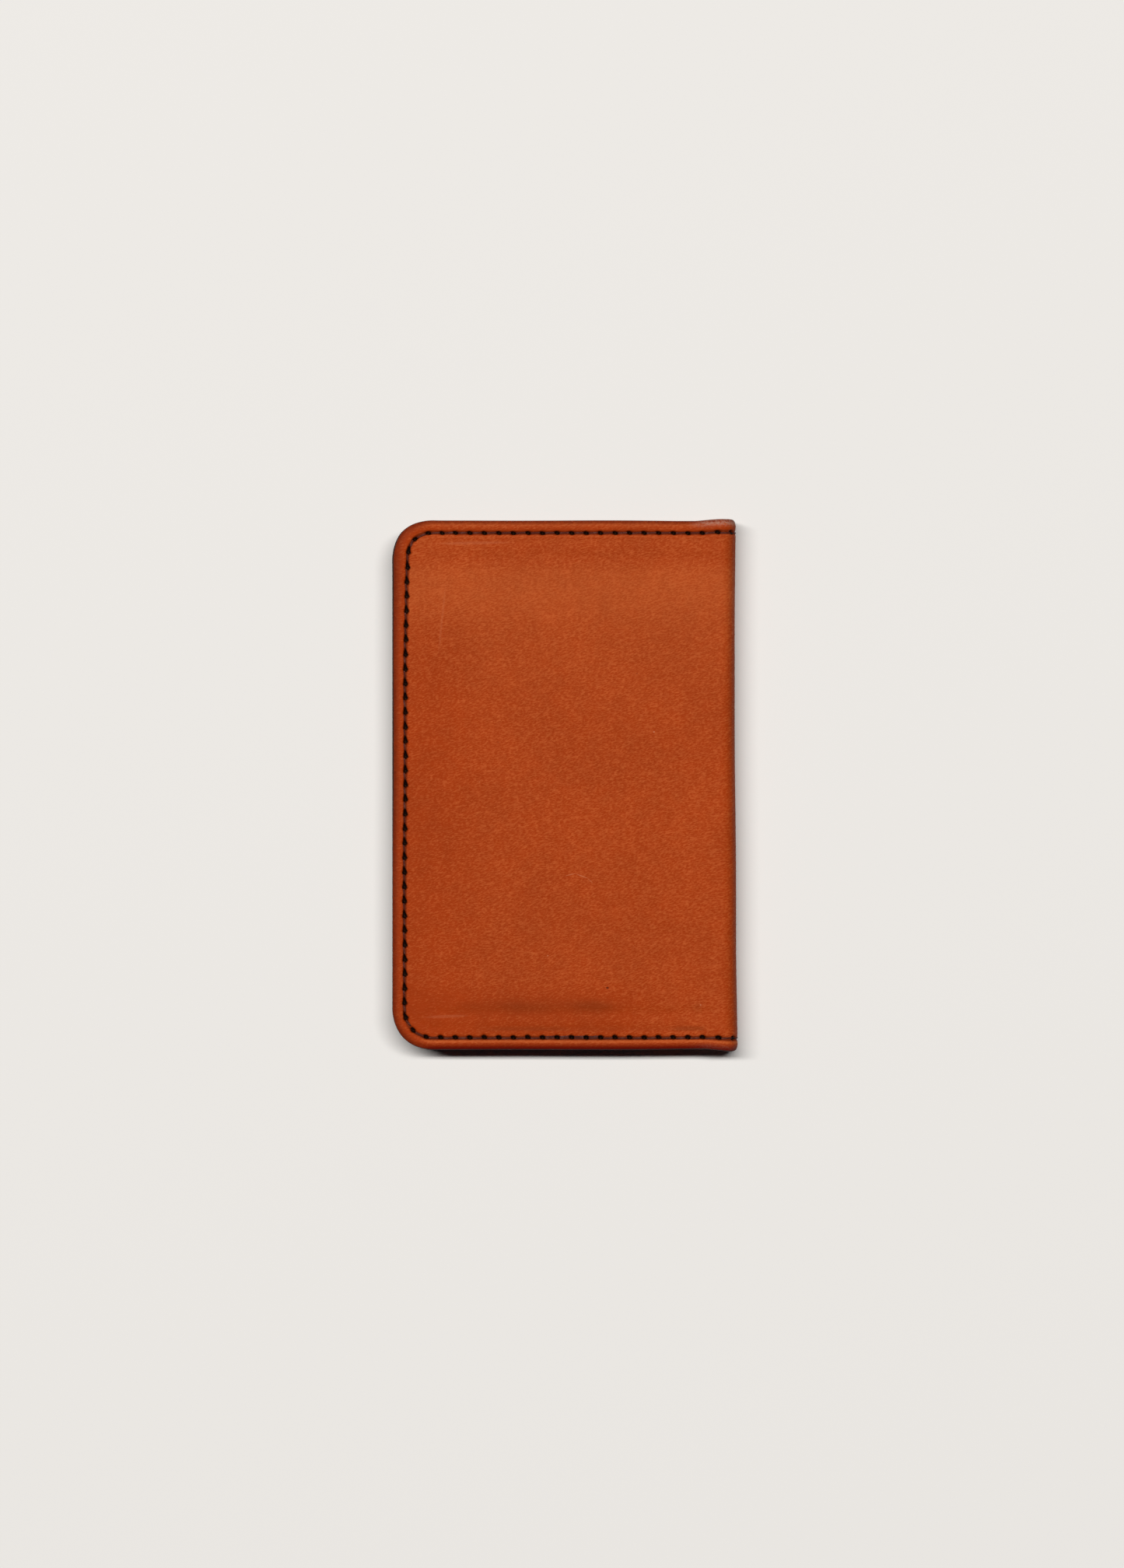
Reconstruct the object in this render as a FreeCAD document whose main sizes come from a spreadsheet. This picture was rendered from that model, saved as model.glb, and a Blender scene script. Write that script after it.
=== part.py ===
"""Folding leather card holder, closed and lying on its back half, in millimetres.

Frame: +Z up, +Y along the fold, +X towards the fold. The origin is the middle of the closed holder's
footprint, on the surface it lies on. One sheet of cover leather runs round the back half, the spine and
the front half. Each half carries card pockets that open towards the spine, and one line of lockstitch,
needle thread outside and bobbin thread inside, follows the three outer edges and crosses the spine.

The back half and everything on it is modelled with its outer face at z = 0 and its inside upwards. The
front half is the same design turned over, so it only needs another placement.
"""

import FreeCAD
import Part
import Sketcher
import math
import os

from FreeCAD import Placement, Rotation, Vector

PARTS_FOLDER = "parts"

# Driving dimensions, each a cell of the spreadsheet with this alias.
DIMENSIONS = [
    ("closed_width", 66.0, "outer edge to fold, across the closed holder"),
    ("closed_height", 102.0, "along the fold"),
    ("closed_thick", 7.8, "both halves together"),
    ("corner_radius", 8.0, "outer corners away from the fold"),
    ("cover_thick", 1.3, "cover leather"),
    ("panel_thick", 0.7, "pocket leather"),
    ("card_gap", 0.9, "room for one card in each pocket"),
    ("relief_inset", 4.4, "outer edge to the raised field of a pocket"),
    ("nest_clear", 0.2, "between the slot's wall and the pocket it covers"),
    ("fold_clear", 0.1, "between a cover's end and the rounded edge of the spine"),
    ("edge_round", 0.6, "burnished round on the cover's outer edge"),
    ("seam_inset", 2.35, "outer edge to the middle of the stitch line"),
    ("groove_width", 0.9, "stitching groove"),
    ("groove_depth", 0.45, "stitching groove"),
    ("hole_dia", 0.8, "awl holes"),
    ("thread_dia", 0.4, "waxed thread"),
    ("first_stitch", 2.73, "fold line to the nearest hole of a row"),
    ("seam_stitches", 76, "stitches round the three sewn sides, from row to row, evenly spaced"),
    ("row_steps", 19, "stitches in each straight row"),
    ("corner_holes", 3, "holes on the arc of each corner"),
    ("pocket_skip", 1, "holes of a row between the fold and the pocket's mouth"),
    ("slot_skip", 6, "holes of a row between the fold and the slot's mouth"),
]

# Derived sizes, as expressions on those cells, so that each feature below stays bound to the sheet.
HALF_WIDTH = "dims.closed_width / 2"
HALF_HEIGHT = "dims.closed_height / 2"
FOLD_X = "(dims.closed_width / 2 - dims.cover_thick / 2)"
COVER_END = f"({FOLD_X} - dims.cover_thick / 2 - dims.fold_clear)"
CORNER_X = "(dims.corner_radius - dims.closed_width / 2)"
CORNER_Y = "(dims.closed_height / 2 - dims.corner_radius)"
SEAM_Y = "(dims.closed_height / 2 - dims.seam_inset)"
SEAM_RADIUS = "(dims.corner_radius - dims.seam_inset)"
FIRST_X = f"({FOLD_X} - dims.first_stitch)"
ROW_LENGTH = f"({FIRST_X} - {CORNER_X})"
CORNER_LENGTH = f"(pi / 2 * {SEAM_RADIUS})"
PITCH = f"(2 * ({ROW_LENGTH} + {CORNER_LENGTH} + {CORNER_Y}) / dims.seam_stitches)"
SIDE_FIRST = "(dims.row_steps + dims.corner_holes + 1)"
SIDE_STEPS = f"(dims.seam_stitches - 2 * {SIDE_FIRST})"
SIDE_Y = f"({CORNER_Y} + {ROW_LENGTH} + {CORNER_LENGTH} - {SIDE_FIRST} * {PITCH})"
POCKET_MOUTH = f"({FIRST_X} - (dims.pocket_skip - 0.5) * {PITCH})"
SLOT_MOUTH = f"({FIRST_X} - (dims.slot_skip - 0.5) * {PITCH})"
OVERSHOOT = 1.0  # how far a cutting outline runs past the solid it cuts

doc = FreeCAD.newDocument("card_holder")


def fill_sheet():
    """The spreadsheet of driving dimensions, and the same numbers as a dict for the code below."""
    sheet = doc.addObject("Spreadsheet::Sheet", "dims")
    for row, (alias, value, note) in enumerate(DIMENSIONS, start=1):
        sheet.set(f"A{row}", alias)
        sheet.set(f"B{row}", str(value))
        sheet.set(f"C{row}", note)
        sheet.setAlias(f"B{row}", alias)
    doc.recompute()
    return {alias: float(sheet.get(alias)) for alias, _, _ in DIMENSIONS}


size = fill_sheet()


# ---------------------------------------------------------------- helpers for bodies and sketches


def new_body(label):
    body = doc.addObject("PartDesign::Body", label)
    body.Label = label
    return body


def origin_feature(body, role):
    return next(f for f in body.Origin.OriginFeatures if f.Role == role)


def new_sketch(body, name, plane="XY_Plane", height=None):
    """A sketch on one of the body's own planes, raised by the expression height."""
    sketch = body.newObject("Sketcher::SketchObject", f"{body.Name}_{name}")
    sketch.AttachmentSupport = [(origin_feature(body, plane), "")]
    sketch.MapMode = "FlatFace"
    if height:
        sketch.setExpression(".AttachmentOffset.Base.z", height)
    return sketch


def bind(sketch, constraint, expression):
    """Adds a driving constraint and binds it to an expression on the sheet."""
    index = sketch.addConstraint(constraint)
    sketch.renameConstraint(index, f"size_{index}")
    sketch.setExpression(f".Constraints.size_{index}", expression)


def panel_loop(sketch, inset, right):
    """A panel's outline, moved in by inset from the holder's outer edge: round corners on the outer side
    (-X) and square ones at x = right."""
    half_w = size["closed_width"] / 2
    half_h = size["closed_height"] / 2
    radius = size["corner_radius"]
    end = half_w
    arc_x, arc_y = radius - half_w, half_h - radius
    first = sketch.GeometryCount
    bottom, left, top, mouth, low_arc, high_arc = range(first, first + 6)
    z_axis = Vector(0, 0, 1)
    for a, b in (
        ((end, -half_h), (arc_x, -half_h)),
        ((-half_w, -arc_y), (-half_w, arc_y)),
        ((arc_x, half_h), (end, half_h)),
        ((end, half_h), (end, -half_h)),
    ):
        sketch.addGeometry(Part.LineSegment(Vector(*a, 0), Vector(*b, 0)))
    for centre_y, start in ((-arc_y, math.pi), (arc_y, math.pi / 2)):
        circle = Part.Circle(Vector(arc_x, centre_y, 0), z_axis, radius)
        sketch.addGeometry(Part.ArcOfCircle(circle, start, start + math.pi / 2))
    start_point, end_point = 1, 2
    for arc, at_start, line_at_start, at_end, line_at_end in (
        (low_arc, left, start_point, bottom, end_point),
        (high_arc, top, start_point, left, end_point),
    ):
        sketch.addConstraint(Sketcher.Constraint("Tangent", arc, start_point, at_start, line_at_start))
        sketch.addConstraint(Sketcher.Constraint("Tangent", arc, end_point, at_end, line_at_end))
    sketch.addConstraint(Sketcher.Constraint("Coincident", top, end_point, mouth, start_point))
    sketch.addConstraint(Sketcher.Constraint("Coincident", mouth, end_point, bottom, start_point))
    sketch.addConstraint(Sketcher.Constraint("Horizontal", top))
    sketch.addConstraint(Sketcher.Constraint("Horizontal", bottom))
    sketch.addConstraint(Sketcher.Constraint("Vertical", left))
    sketch.addConstraint(Sketcher.Constraint("Equal", low_arc, high_arc))
    origin, x_axis = -1, -1
    sketch.addConstraint(
        Sketcher.Constraint("Symmetric", mouth, start_point, mouth, end_point, x_axis)
    )
    bind(
        sketch,
        Sketcher.Constraint("DistanceX", left, start_point, origin, 1, half_w),
        f"{HALF_WIDTH} - {inset}",
    )
    bind(sketch, Sketcher.Constraint("DistanceX", origin, 1, mouth, start_point, end), right)
    bind(
        sketch,
        Sketcher.Constraint("DistanceY", origin, 1, top, end_point, half_h),
        f"{HALF_HEIGHT} - {inset}",
    )
    bind(sketch, Sketcher.Constraint("Radius", high_arc, radius), f"dims.corner_radius - {inset}")


def panel_pad(body, right, height):
    sketch = new_sketch(body, "outline")
    panel_loop(sketch, "0", right)
    pad = body.newObject("PartDesign::Pad", f"{body.Name}_blank")
    pad.Profile = sketch
    pad.setExpression("Length", height)
    sketch.Visibility = False
    doc.recompute()
    return pad


def cut(body, sketch, name, depth=None, upwards=True):
    """Cuts the sketch out of the body, upwards or downwards from its plane, through everything if no
    depth is given, and stops the build if nothing was removed."""
    before = body.Shape.Volume
    pocket = body.newObject("PartDesign::Pocket", f"{body.Name}_{name}")
    pocket.Profile = sketch
    pocket.Reversed = upwards
    if depth is None:
        pocket.Type = "ThroughAll"
    else:
        pocket.setExpression("Length", depth)
    doc.recompute()
    if body.Shape.Volume >= before - 1e-6:
        raise RuntimeError(f"{pocket.Name} removed nothing")
    return pocket


def pattern(body, pocket, role, length, steps, backwards):
    """Repeats a cut in a straight line, steps times beyond the first."""
    before = body.Shape.Volume
    row = body.newObject("PartDesign::LinearPattern", f"{pocket.Name}_row")
    row.Originals = [pocket]
    row.Direction = (origin_feature(body, role), [""])
    row.Reversed = backwards
    row.setExpression("Length", length)
    row.setExpression("Occurrences", f"{steps} + 1")
    body.Tip = row
    doc.recompute()
    if body.Shape.Volume >= before - 1e-6:
        raise RuntimeError(f"{row.Name} removed nothing")


def circle_at(sketch, x, y, x_expression, y_expression):
    """One awl hole in a sketch, its place and size bound to the sheet. The signs of x and y say which
    side of the origin it is on, and the expressions give the distances from it."""
    index = sketch.addGeometry(Part.Circle(Vector(x, y, 0), Vector(0, 0, 1), size["hole_dia"] / 2))
    centre = 3
    across = (-1, 1, index, centre) if x > 0 else (index, centre, -1, 1)
    along = (-1, 1, index, centre) if y > 0 else (index, centre, -1, 1)
    bind(sketch, Sketcher.Constraint("DistanceX", *across, abs(x)), x_expression)
    bind(sketch, Sketcher.Constraint("DistanceY", *along, abs(y)), y_expression)
    bind(sketch, Sketcher.Constraint("Diameter", index, size["hole_dia"]), "dims.hole_dia")


# ---------------------------------------------------------------- the stitch line

fold_x = (size["closed_width"] - size["cover_thick"]) / 2
corner_x = size["corner_radius"] - size["closed_width"] / 2
corner_y = size["closed_height"] / 2 - size["corner_radius"]
seam_y = size["closed_height"] / 2 - size["seam_inset"]
seam_radius = size["corner_radius"] - size["seam_inset"]
first_x = fold_x - size["first_stitch"]
row_length = first_x - corner_x
corner_length = math.pi / 2 * seam_radius
pitch = 2 * (row_length + corner_length + corner_y) / size["seam_stitches"]
pocket_mouth = first_x - (size["pocket_skip"] - 0.5) * pitch
slot_mouth = first_x - (size["slot_skip"] - 0.5) * pitch
fold_low = size["cover_thick"] / 2
fold_high = size["closed_thick"] - size["cover_thick"] / 2


def seam_point(distance):
    """The point of the seam's upper half at this distance along it from the row's first hole."""
    if distance <= row_length:
        return (first_x - distance, seam_y)
    turn = (distance - row_length) / seam_radius
    if turn <= math.pi / 2:
        return (corner_x - seam_radius * math.sin(turn), corner_y + seam_radius * math.cos(turn))
    return (corner_x - seam_radius, corner_y + row_length + corner_length - distance)


def half_holes():
    """Every hole of one half, as (x, y), from the fold along the top row, down the side and back."""
    upper = [seam_point(k * pitch) for k in range(int(size["seam_stitches"]) // 2)]
    middle = (corner_x - seam_radius, 0.0)
    return [*upper, middle, *((x, -y) for x, y in reversed(upper))]


def cut_holes(body, skip):
    """The awl holes of a panel. A row starts skip holes from the fold, because the panel ends there."""
    start = f"({FIRST_X} - {skip} * {PITCH})"
    row_sketch = new_sketch(body, "row_holes")
    for side in (1, -1):
        circle_at(row_sketch, first_x, side * seam_y, start, SEAM_Y)
    rows = cut(body, row_sketch, "row_hole")
    steps = f"(dims.row_steps - {skip})"
    pattern(body, rows, "X_Axis", f"{steps} * {PITCH}", steps, True)
    corner_sketch = new_sketch(body, "corner_holes")
    for k in range(1, int(size["corner_holes"]) + 1):
        turn = f"(((dims.row_steps + {k}) * {PITCH} - {ROW_LENGTH}) / {SEAM_RADIUS} * 1 rad)"
        x, y = seam_point((size["row_steps"] + k) * pitch)
        away_x = f"{SEAM_RADIUS} * sin({turn}) - {CORNER_X}"
        away_y = f"{CORNER_Y} + {SEAM_RADIUS} * cos({turn})"
        for side in (1, -1):
            circle_at(corner_sketch, x, side * y, away_x, away_y)
    cut(body, corner_sketch, "corner_hole")
    side_sketch = new_sketch(body, "side_holes")
    x, y = corner_x - seam_radius, seam_point((size["row_steps"] + size["corner_holes"] + 1) * pitch)[1]
    circle_at(side_sketch, x, y, f"{SEAM_RADIUS} - {CORNER_X}", SIDE_Y)
    sides = cut(body, side_sketch, "side_hole")
    pattern(body, sides, "Y_Axis", f"2 * {SIDE_Y}", SIDE_STEPS, True)


# ---------------------------------------------------------------- leather


def cover_half(label):
    """One half of the cover: a flat panel with a burnished outer edge, a stitching groove in its outer
    face (z = 0) and the awl holes."""
    body = new_body(label)
    blank = panel_pad(body, COVER_END, "dims.cover_thick")
    rim = [
        f"Edge{i}"
        for i, edge in enumerate(blank.Shape.Edges, start=1)
        if edge.BoundBox.ZMax < 1e-6 and edge.BoundBox.XMin < size["closed_width"] / 2 - 2
    ]
    burnish = body.newObject("PartDesign::Fillet", f"{label}_burnished_edge")
    burnish.Base = (blank, rim)
    burnish.setExpression("Radius", "dims.edge_round")
    doc.recompute()
    groove = new_sketch(body, "groove")
    panel_loop(groove, "(dims.seam_inset - dims.groove_width / 2)", f"{COVER_END} + 2 * {OVERSHOOT}")
    panel_loop(groove, "(dims.seam_inset + dims.groove_width / 2)", f"{COVER_END} + {OVERSHOOT}")
    cut(body, groove, "stitching_groove", "dims.groove_depth")
    cut_holes(body, "0")
    return body


def pocket_panel(label, mouth, skip, rise, wall_inset):
    """A pocket's leather: its rim lies flat along the seam, and its field stands up by rise, so that a
    card slides in under it from the mouth. wall_inset is from the outer edge to the raised field."""
    body = new_body(label)
    panel_pad(body, mouth, f"dims.panel_thick + {rise}")
    under = new_sketch(body, "card_space")
    panel_loop(under, f"({wall_inset} + dims.panel_thick)", f"{mouth} + {OVERSHOOT}")
    cut(body, under, "card_space_cut", rise)
    over = new_sketch(body, "rim", height=f"dims.panel_thick + {rise}")
    panel_loop(over, f"(0 - {OVERSHOOT})", f"{mouth} + 2 * {OVERSHOOT}")
    panel_loop(over, wall_inset, f"{mouth} + {OVERSHOOT}")
    cut(body, over, "rim_cut", rise, upwards=False)
    cut_holes(body, skip)
    return body


def cover_spine():
    """The strip of cover leather between the two fold lines. Its long edges are round about those lines,
    so it turns against the covers without touching them."""
    body = new_body("cover_spine")
    section = new_sketch(body, "section", plane="XZ_Plane")
    radius = size["cover_thick"] / 2
    y_axis = Vector(0, 0, 1)
    for z, start in ((fold_high, 0.0), (fold_low, math.pi)):
        circle = Part.Circle(Vector(fold_x, z, 0), y_axis, radius)
        section.addGeometry(Part.ArcOfCircle(circle, start, start + math.pi))
    for x, z_from, z_to in ((-1, fold_high, fold_low), (1, fold_low, fold_high)):
        side = fold_x + x * radius
        section.addGeometry(Part.LineSegment(Vector(side, z_from, 0), Vector(side, z_to, 0)))
    top, bottom, inner, outer = range(4)
    for arc, start_line, end_line in ((top, outer, inner), (bottom, inner, outer)):
        section.addConstraint(Sketcher.Constraint("Tangent", arc, 1, start_line, 2))
        section.addConstraint(Sketcher.Constraint("Tangent", arc, 2, end_line, 1))
    section.addConstraint(Sketcher.Constraint("Vertical", outer))
    section.addConstraint(Sketcher.Constraint("Equal", top, bottom))
    bind(section, Sketcher.Constraint("Radius", top, radius), "dims.cover_thick / 2")
    bind(section, Sketcher.Constraint("DistanceX", -1, 1, bottom, 3, fold_x), FOLD_X)
    bind(
        section,
        Sketcher.Constraint("DistanceY", -1, 1, bottom, 3, fold_low),
        "dims.cover_thick / 2",
    )
    bind(
        section,
        Sketcher.Constraint("DistanceY", -1, 1, top, 3, fold_high),
        "dims.closed_thick - dims.cover_thick / 2",
    )
    pad = body.newObject("PartDesign::Pad", "cover_spine_strip")
    pad.Profile = section
    pad.Midplane = True
    pad.setExpression("Length", "dims.closed_height")
    doc.recompute()
    groove = new_sketch(body, "groove", plane="YZ_Plane", height=HALF_WIDTH)
    for side in (1, -1):
        groove_loop(groove, side)
    cut(body, groove, "stitching_groove", "dims.groove_depth", upwards=False)
    holes = new_sketch(body, "holes", plane="YZ_Plane")
    for z, z_expression in zip(spine_holes(), SPINE_HOLES):
        for side in (1, -1):
            circle_at(holes, side * seam_y, z, SEAM_Y, z_expression)
    cut(body, holes, "awl_hole")
    return body


SPINE_HOLES = (
    "dims.cover_thick / 2 + (dims.closed_thick - dims.cover_thick) / 4",
    "dims.cover_thick / 2 + 3 * (dims.closed_thick - dims.cover_thick) / 4",
)


def spine_holes():
    """Heights of the spine's two holes, a quarter of the way in from each fold line."""
    span = fold_high - fold_low
    return (fold_low + span / 4, fold_low + 3 * span / 4)


def groove_loop(sketch, side):
    """The spine's stretch of stitching groove at one end, as a rectangle in the YZ plane."""
    half = size["groove_width"] / 2
    low, high = -OVERSHOOT, size["closed_thick"] + OVERSHOOT
    near, far = side * (seam_y - half), side * (seam_y + half)
    corners = [(near, low), (far, low), (far, high), (near, high)]
    first = sketch.GeometryCount
    for i, corner in enumerate(corners):
        following = corners[(i + 1) % 4]
        sketch.addGeometry(Part.LineSegment(Vector(*corner, 0), Vector(*following, 0)))
    for i in range(4):
        joint = (first + i, 2, first + (i + 1) % 4, 1)
        sketch.addConstraint(Sketcher.Constraint("Coincident", *joint))
        kind = "Horizontal" if i % 2 == 0 else "Vertical"
        sketch.addConstraint(Sketcher.Constraint(kind, first + i))
    for line, sign in ((first + 3, "-"), (first + 1, "+")):
        ends = (-1, 1, line, 1) if side > 0 else (line, 1, -1, 1)
        bind(
            sketch,
            Sketcher.Constraint("DistanceX", *ends, seam_y),
            f"{SEAM_Y} {sign} dims.groove_width / 2",
        )
    bind(
        sketch,
        Sketcher.Constraint("DistanceY", first, 1, -1, 1, OVERSHOOT),
        f"{OVERSHOOT}",
    )
    bind(
        sketch,
        Sketcher.Constraint("DistanceY", -1, 1, first + 2, 1, high),
        f"dims.closed_thick + {OVERSHOOT}",
    )


# ---------------------------------------------------------------- thread

THREAD_LIE = 0.02  # clearance under a stitch lying on leather
LEG_END = 0.95  # depth at which the needle thread meets the bobbin thread
LEG_GAP = 0.05
BEND = 0.26  # radius of the thread's turn into a hole


def stitch(length, bar_z, leg_z):
    """One stitch along +X from a hole at the origin: a round thread lying at bar_z, with its leg going
    down the hole to leg_z. Without a leg, it is only the bar."""
    radius = size["thread_dia"] / 2
    if leg_z is None:
        return Part.makeCylinder(radius, length, Vector(0, 0, bar_z), Vector(1, 0, 0))
    way = math.copysign(1, leg_z - bar_z)
    turn = bar_z + way * BEND
    middle = Vector(BEND * (1 - math.sqrt(0.5)), 0, bar_z + way * BEND * (1 - math.sqrt(0.5)))
    path = Part.Wire(
        [
            Part.LineSegment(Vector(0, 0, leg_z), Vector(0, 0, turn)).toShape(),
            Part.Arc(Vector(0, 0, turn), middle, Vector(BEND, 0, bar_z)).toShape(),
            Part.LineSegment(Vector(BEND, 0, bar_z), Vector(length, 0, bar_z)).toShape(),
        ]
    )
    ring = Part.Wire(Part.makeCircle(radius, Vector(0, 0, leg_z), Vector(0, 0, 1)))
    return path.makePipeShell([ring], True, False)


def thread_along(points, level, leg_z, loose_start=True):
    """A run of stitches over a list of (x, y) points. The last point has no leg, and nor has the first if
    it is a loose end. level(a, b) gives the height of the thread's middle between two points."""
    radius = size["thread_dia"] / 2
    made = []
    for i, (a, b) in enumerate(zip(points, points[1:])):
        start, along = Vector(*a, 0), Vector(b[0] - a[0], b[1] - a[1], 0)
        last = i == len(points) - 2
        length = along.Length - (0 if last else radius + THREAD_LIE)
        one = stitch(length, level(a, b), None if loose_start and i == 0 else leg_z)
        turn = Rotation(Vector(1, 0, 0), along)
        one.Placement = Placement(start, turn)
        made.append(one)
    return Part.makeCompound(made)


def half_points():
    """The holes of one half, with a loose end on each row just short of the fold line."""
    end_x = fold_x - size["cover_thick"] / 2 - size["fold_clear"]
    return [(end_x, seam_y), *half_holes(), (end_x, -seam_y)]


def needle_level(a, b):
    return size["thread_dia"] / 2 + THREAD_LIE


def bobbin_level(mouths):
    """Height of the bobbin thread over a stack of panels whose mouths are at these x: a stitch that
    crosses a mouth lies on the higher side of it."""

    def level(a, b):
        x = min(a[0], b[0])
        layers = sum(1 for mouth in mouths if x < mouth)
        surface = size["cover_thick"] + layers * size["panel_thick"]
        return surface + size["thread_dia"] / 2 + THREAD_LIE

    return level


def add_feature(label, shape, placement):
    feature = doc.addObject("Part::Feature", label)
    feature.Label = label
    feature.Shape = shape
    feature.Placement = placement
    return feature


def half_threads(side, mouths, placement):
    points = half_points()
    needle = thread_along(points, needle_level, LEG_END)
    bobbin = thread_along(points, bobbin_level(mouths), LEG_END + LEG_GAP)
    add_feature(f"needle_thread_{side}", needle, placement)
    add_feature(f"bobbin_thread_{side}", bobbin, placement)


def spine_threads():
    """The stitches on the spine, modelled flat like a half's and then stood up against the spine. The
    bobbin thread stops at the spine's own holes, clear of the halves' threads in the closed fold."""
    loose = size["cover_thick"] / 2
    full = [fold_low + loose, *spine_holes(), fold_high - loose]
    upright = Placement(Vector(size["closed_width"] / 2, 0, 0), Rotation(Vector(0, 1, 0), -90))
    for name, heights, level, leg in (
        ("needle_thread_spine", full, needle_level, LEG_END),
        ("bobbin_thread_spine", spine_holes(), bobbin_level(()), LEG_END + LEG_GAP),
    ):
        lines = [[(z, side * seam_y) for z in heights] for side in (1, -1)]
        runs = [thread_along(line, level, leg, loose_start=len(line) > 2) for line in lines]
        add_feature(name, Part.makeCompound(runs), upright)


# ---------------------------------------------------------------- assembly


def turn_over(body):
    """Puts a piece modelled for the back half on the front half: turned over about X, closed height up."""
    body.Placement = Placement(Vector(0, 0, 0), Rotation(Vector(1, 0, 0), 180))
    body.setExpression(".Placement.Base.z", "dims.closed_thick")


def raise_by(body, expression):
    body.setExpression(".Placement.Base.z", expression)


cover_half("cover_back")
turn_over(cover_half("cover_front"))
cover_spine()

back_pocket = pocket_panel(
    "pocket_back", POCKET_MOUTH, "dims.pocket_skip", "dims.card_gap", "dims.relief_inset"
)
raise_by(back_pocket, "dims.cover_thick")

back_slot = pocket_panel(
    "slot_back",
    SLOT_MOUTH,
    "dims.slot_skip",
    "2 * dims.card_gap",
    "(dims.relief_inset - dims.nest_clear - dims.panel_thick)",
)
raise_by(back_slot, "dims.cover_thick + dims.panel_thick")

front_pocket = pocket_panel(
    "pocket_front", POCKET_MOUTH, "dims.pocket_skip", "dims.card_gap", "dims.relief_inset"
)
turn_over(front_pocket)
raise_by(front_pocket, "dims.closed_thick - dims.cover_thick")

back_place = Placement()
front_place = Placement(Vector(0, 0, size["closed_thick"]), Rotation(Vector(1, 0, 0), 180))
half_threads("back", (pocket_mouth, slot_mouth), back_place)
half_threads("front", (pocket_mouth,), front_place)
spine_threads()
doc.recompute()


# ---------------------------------------------------------------- checks and files

SUB_PARTS = [
    o
    for o in doc.Objects
    if o.TypeId == "PartDesign::Body" or o.TypeId == "Part::Feature"
]

for o in doc.Objects:
    if {"Invalid", "Error"} & set(o.State):
        raise RuntimeError(f"{o.Name} failed: {o.State}")

os.makedirs(PARTS_FOLDER, exist_ok=True)
for o in SUB_PARTS:
    if o.Shape.isNull() or not o.Shape.isValid():
        raise RuntimeError(f"{o.Label} has no valid shape")
    solids = len(o.Shape.Solids)
    print(f"{o.Label}: {solids} solid(s), {o.Shape.Volume:.1f} mm3, {o.Shape.BoundBox}")

for o in SUB_PARTS:
    o.Shape.exportStep(os.path.join(PARTS_FOLDER, o.Label + ".step"))
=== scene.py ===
"""Folding leather card holder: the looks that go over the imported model.

The cover, the pocket panels and the seam's two threads are rebuilt here as soft leather and waxed thread.
Each leather panel is a closed sheet made on a plan of (u, v) in millimetres, u across the holder towards
the fold and v along it, and is then laid flat or wrapped round the spine. All lengths are in millimetres
until a mesh is written, in metres.
"""

import math

import bmesh
import bpy
import numpy as np
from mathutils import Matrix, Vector
from mathutils.geometry import delaunay_2d_cdt


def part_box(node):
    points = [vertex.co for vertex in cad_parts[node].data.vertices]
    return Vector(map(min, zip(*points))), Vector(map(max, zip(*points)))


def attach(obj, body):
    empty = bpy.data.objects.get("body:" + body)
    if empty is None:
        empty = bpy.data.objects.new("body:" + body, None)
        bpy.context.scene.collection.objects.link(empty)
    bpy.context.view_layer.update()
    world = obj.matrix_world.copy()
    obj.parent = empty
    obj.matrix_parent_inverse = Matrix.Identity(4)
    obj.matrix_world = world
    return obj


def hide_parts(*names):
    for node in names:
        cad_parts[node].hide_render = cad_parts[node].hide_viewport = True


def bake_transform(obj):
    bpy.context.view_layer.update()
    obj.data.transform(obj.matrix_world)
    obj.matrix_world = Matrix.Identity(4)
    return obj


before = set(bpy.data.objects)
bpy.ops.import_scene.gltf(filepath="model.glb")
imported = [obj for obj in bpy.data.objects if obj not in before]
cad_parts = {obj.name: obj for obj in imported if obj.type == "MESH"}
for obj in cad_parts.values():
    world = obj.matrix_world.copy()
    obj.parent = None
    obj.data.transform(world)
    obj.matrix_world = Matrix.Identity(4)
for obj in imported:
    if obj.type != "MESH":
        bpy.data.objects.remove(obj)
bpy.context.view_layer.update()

MM = 0.001


# ---------------------------------------------------------------- sizes read from the frame


def node_box(node):
    low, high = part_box(node)
    return np.array(low) / MM, np.array(high) / MM


cover_low, cover_high = node_box("cover_back")
HALF_W, HALF_H = node_box("cover_spine")[1][:2]
TOP_Z = node_box("cover_front")[1][2]
COVER = cover_high[2] - cover_low[2]
MOUTH = {node: node_box(node)[1][0] for node in ("pocket_back", "slot_back", "pocket_front")}
PANEL = 0.7  # thickness of the pocket leather
CARD_GAP = 0.9  # room for one card under a pocket's field
CORNER = 8.0  # radius of the two outer corners
MARGIN = 3.9  # how far in from the edge the mesh's rings reach

# The fold: the cover's outer face turns round a quarter circle into the spine.
FOLD_R = 3.1
FOLD_START = HALF_W - FOLD_R
FOLD_LENGTH = FOLD_R * math.pi / 2
COVER_END = FOLD_START + FOLD_LENGTH + TOP_Z / 2 - FOLD_R  # on the plan, at the middle of the spine

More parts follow.
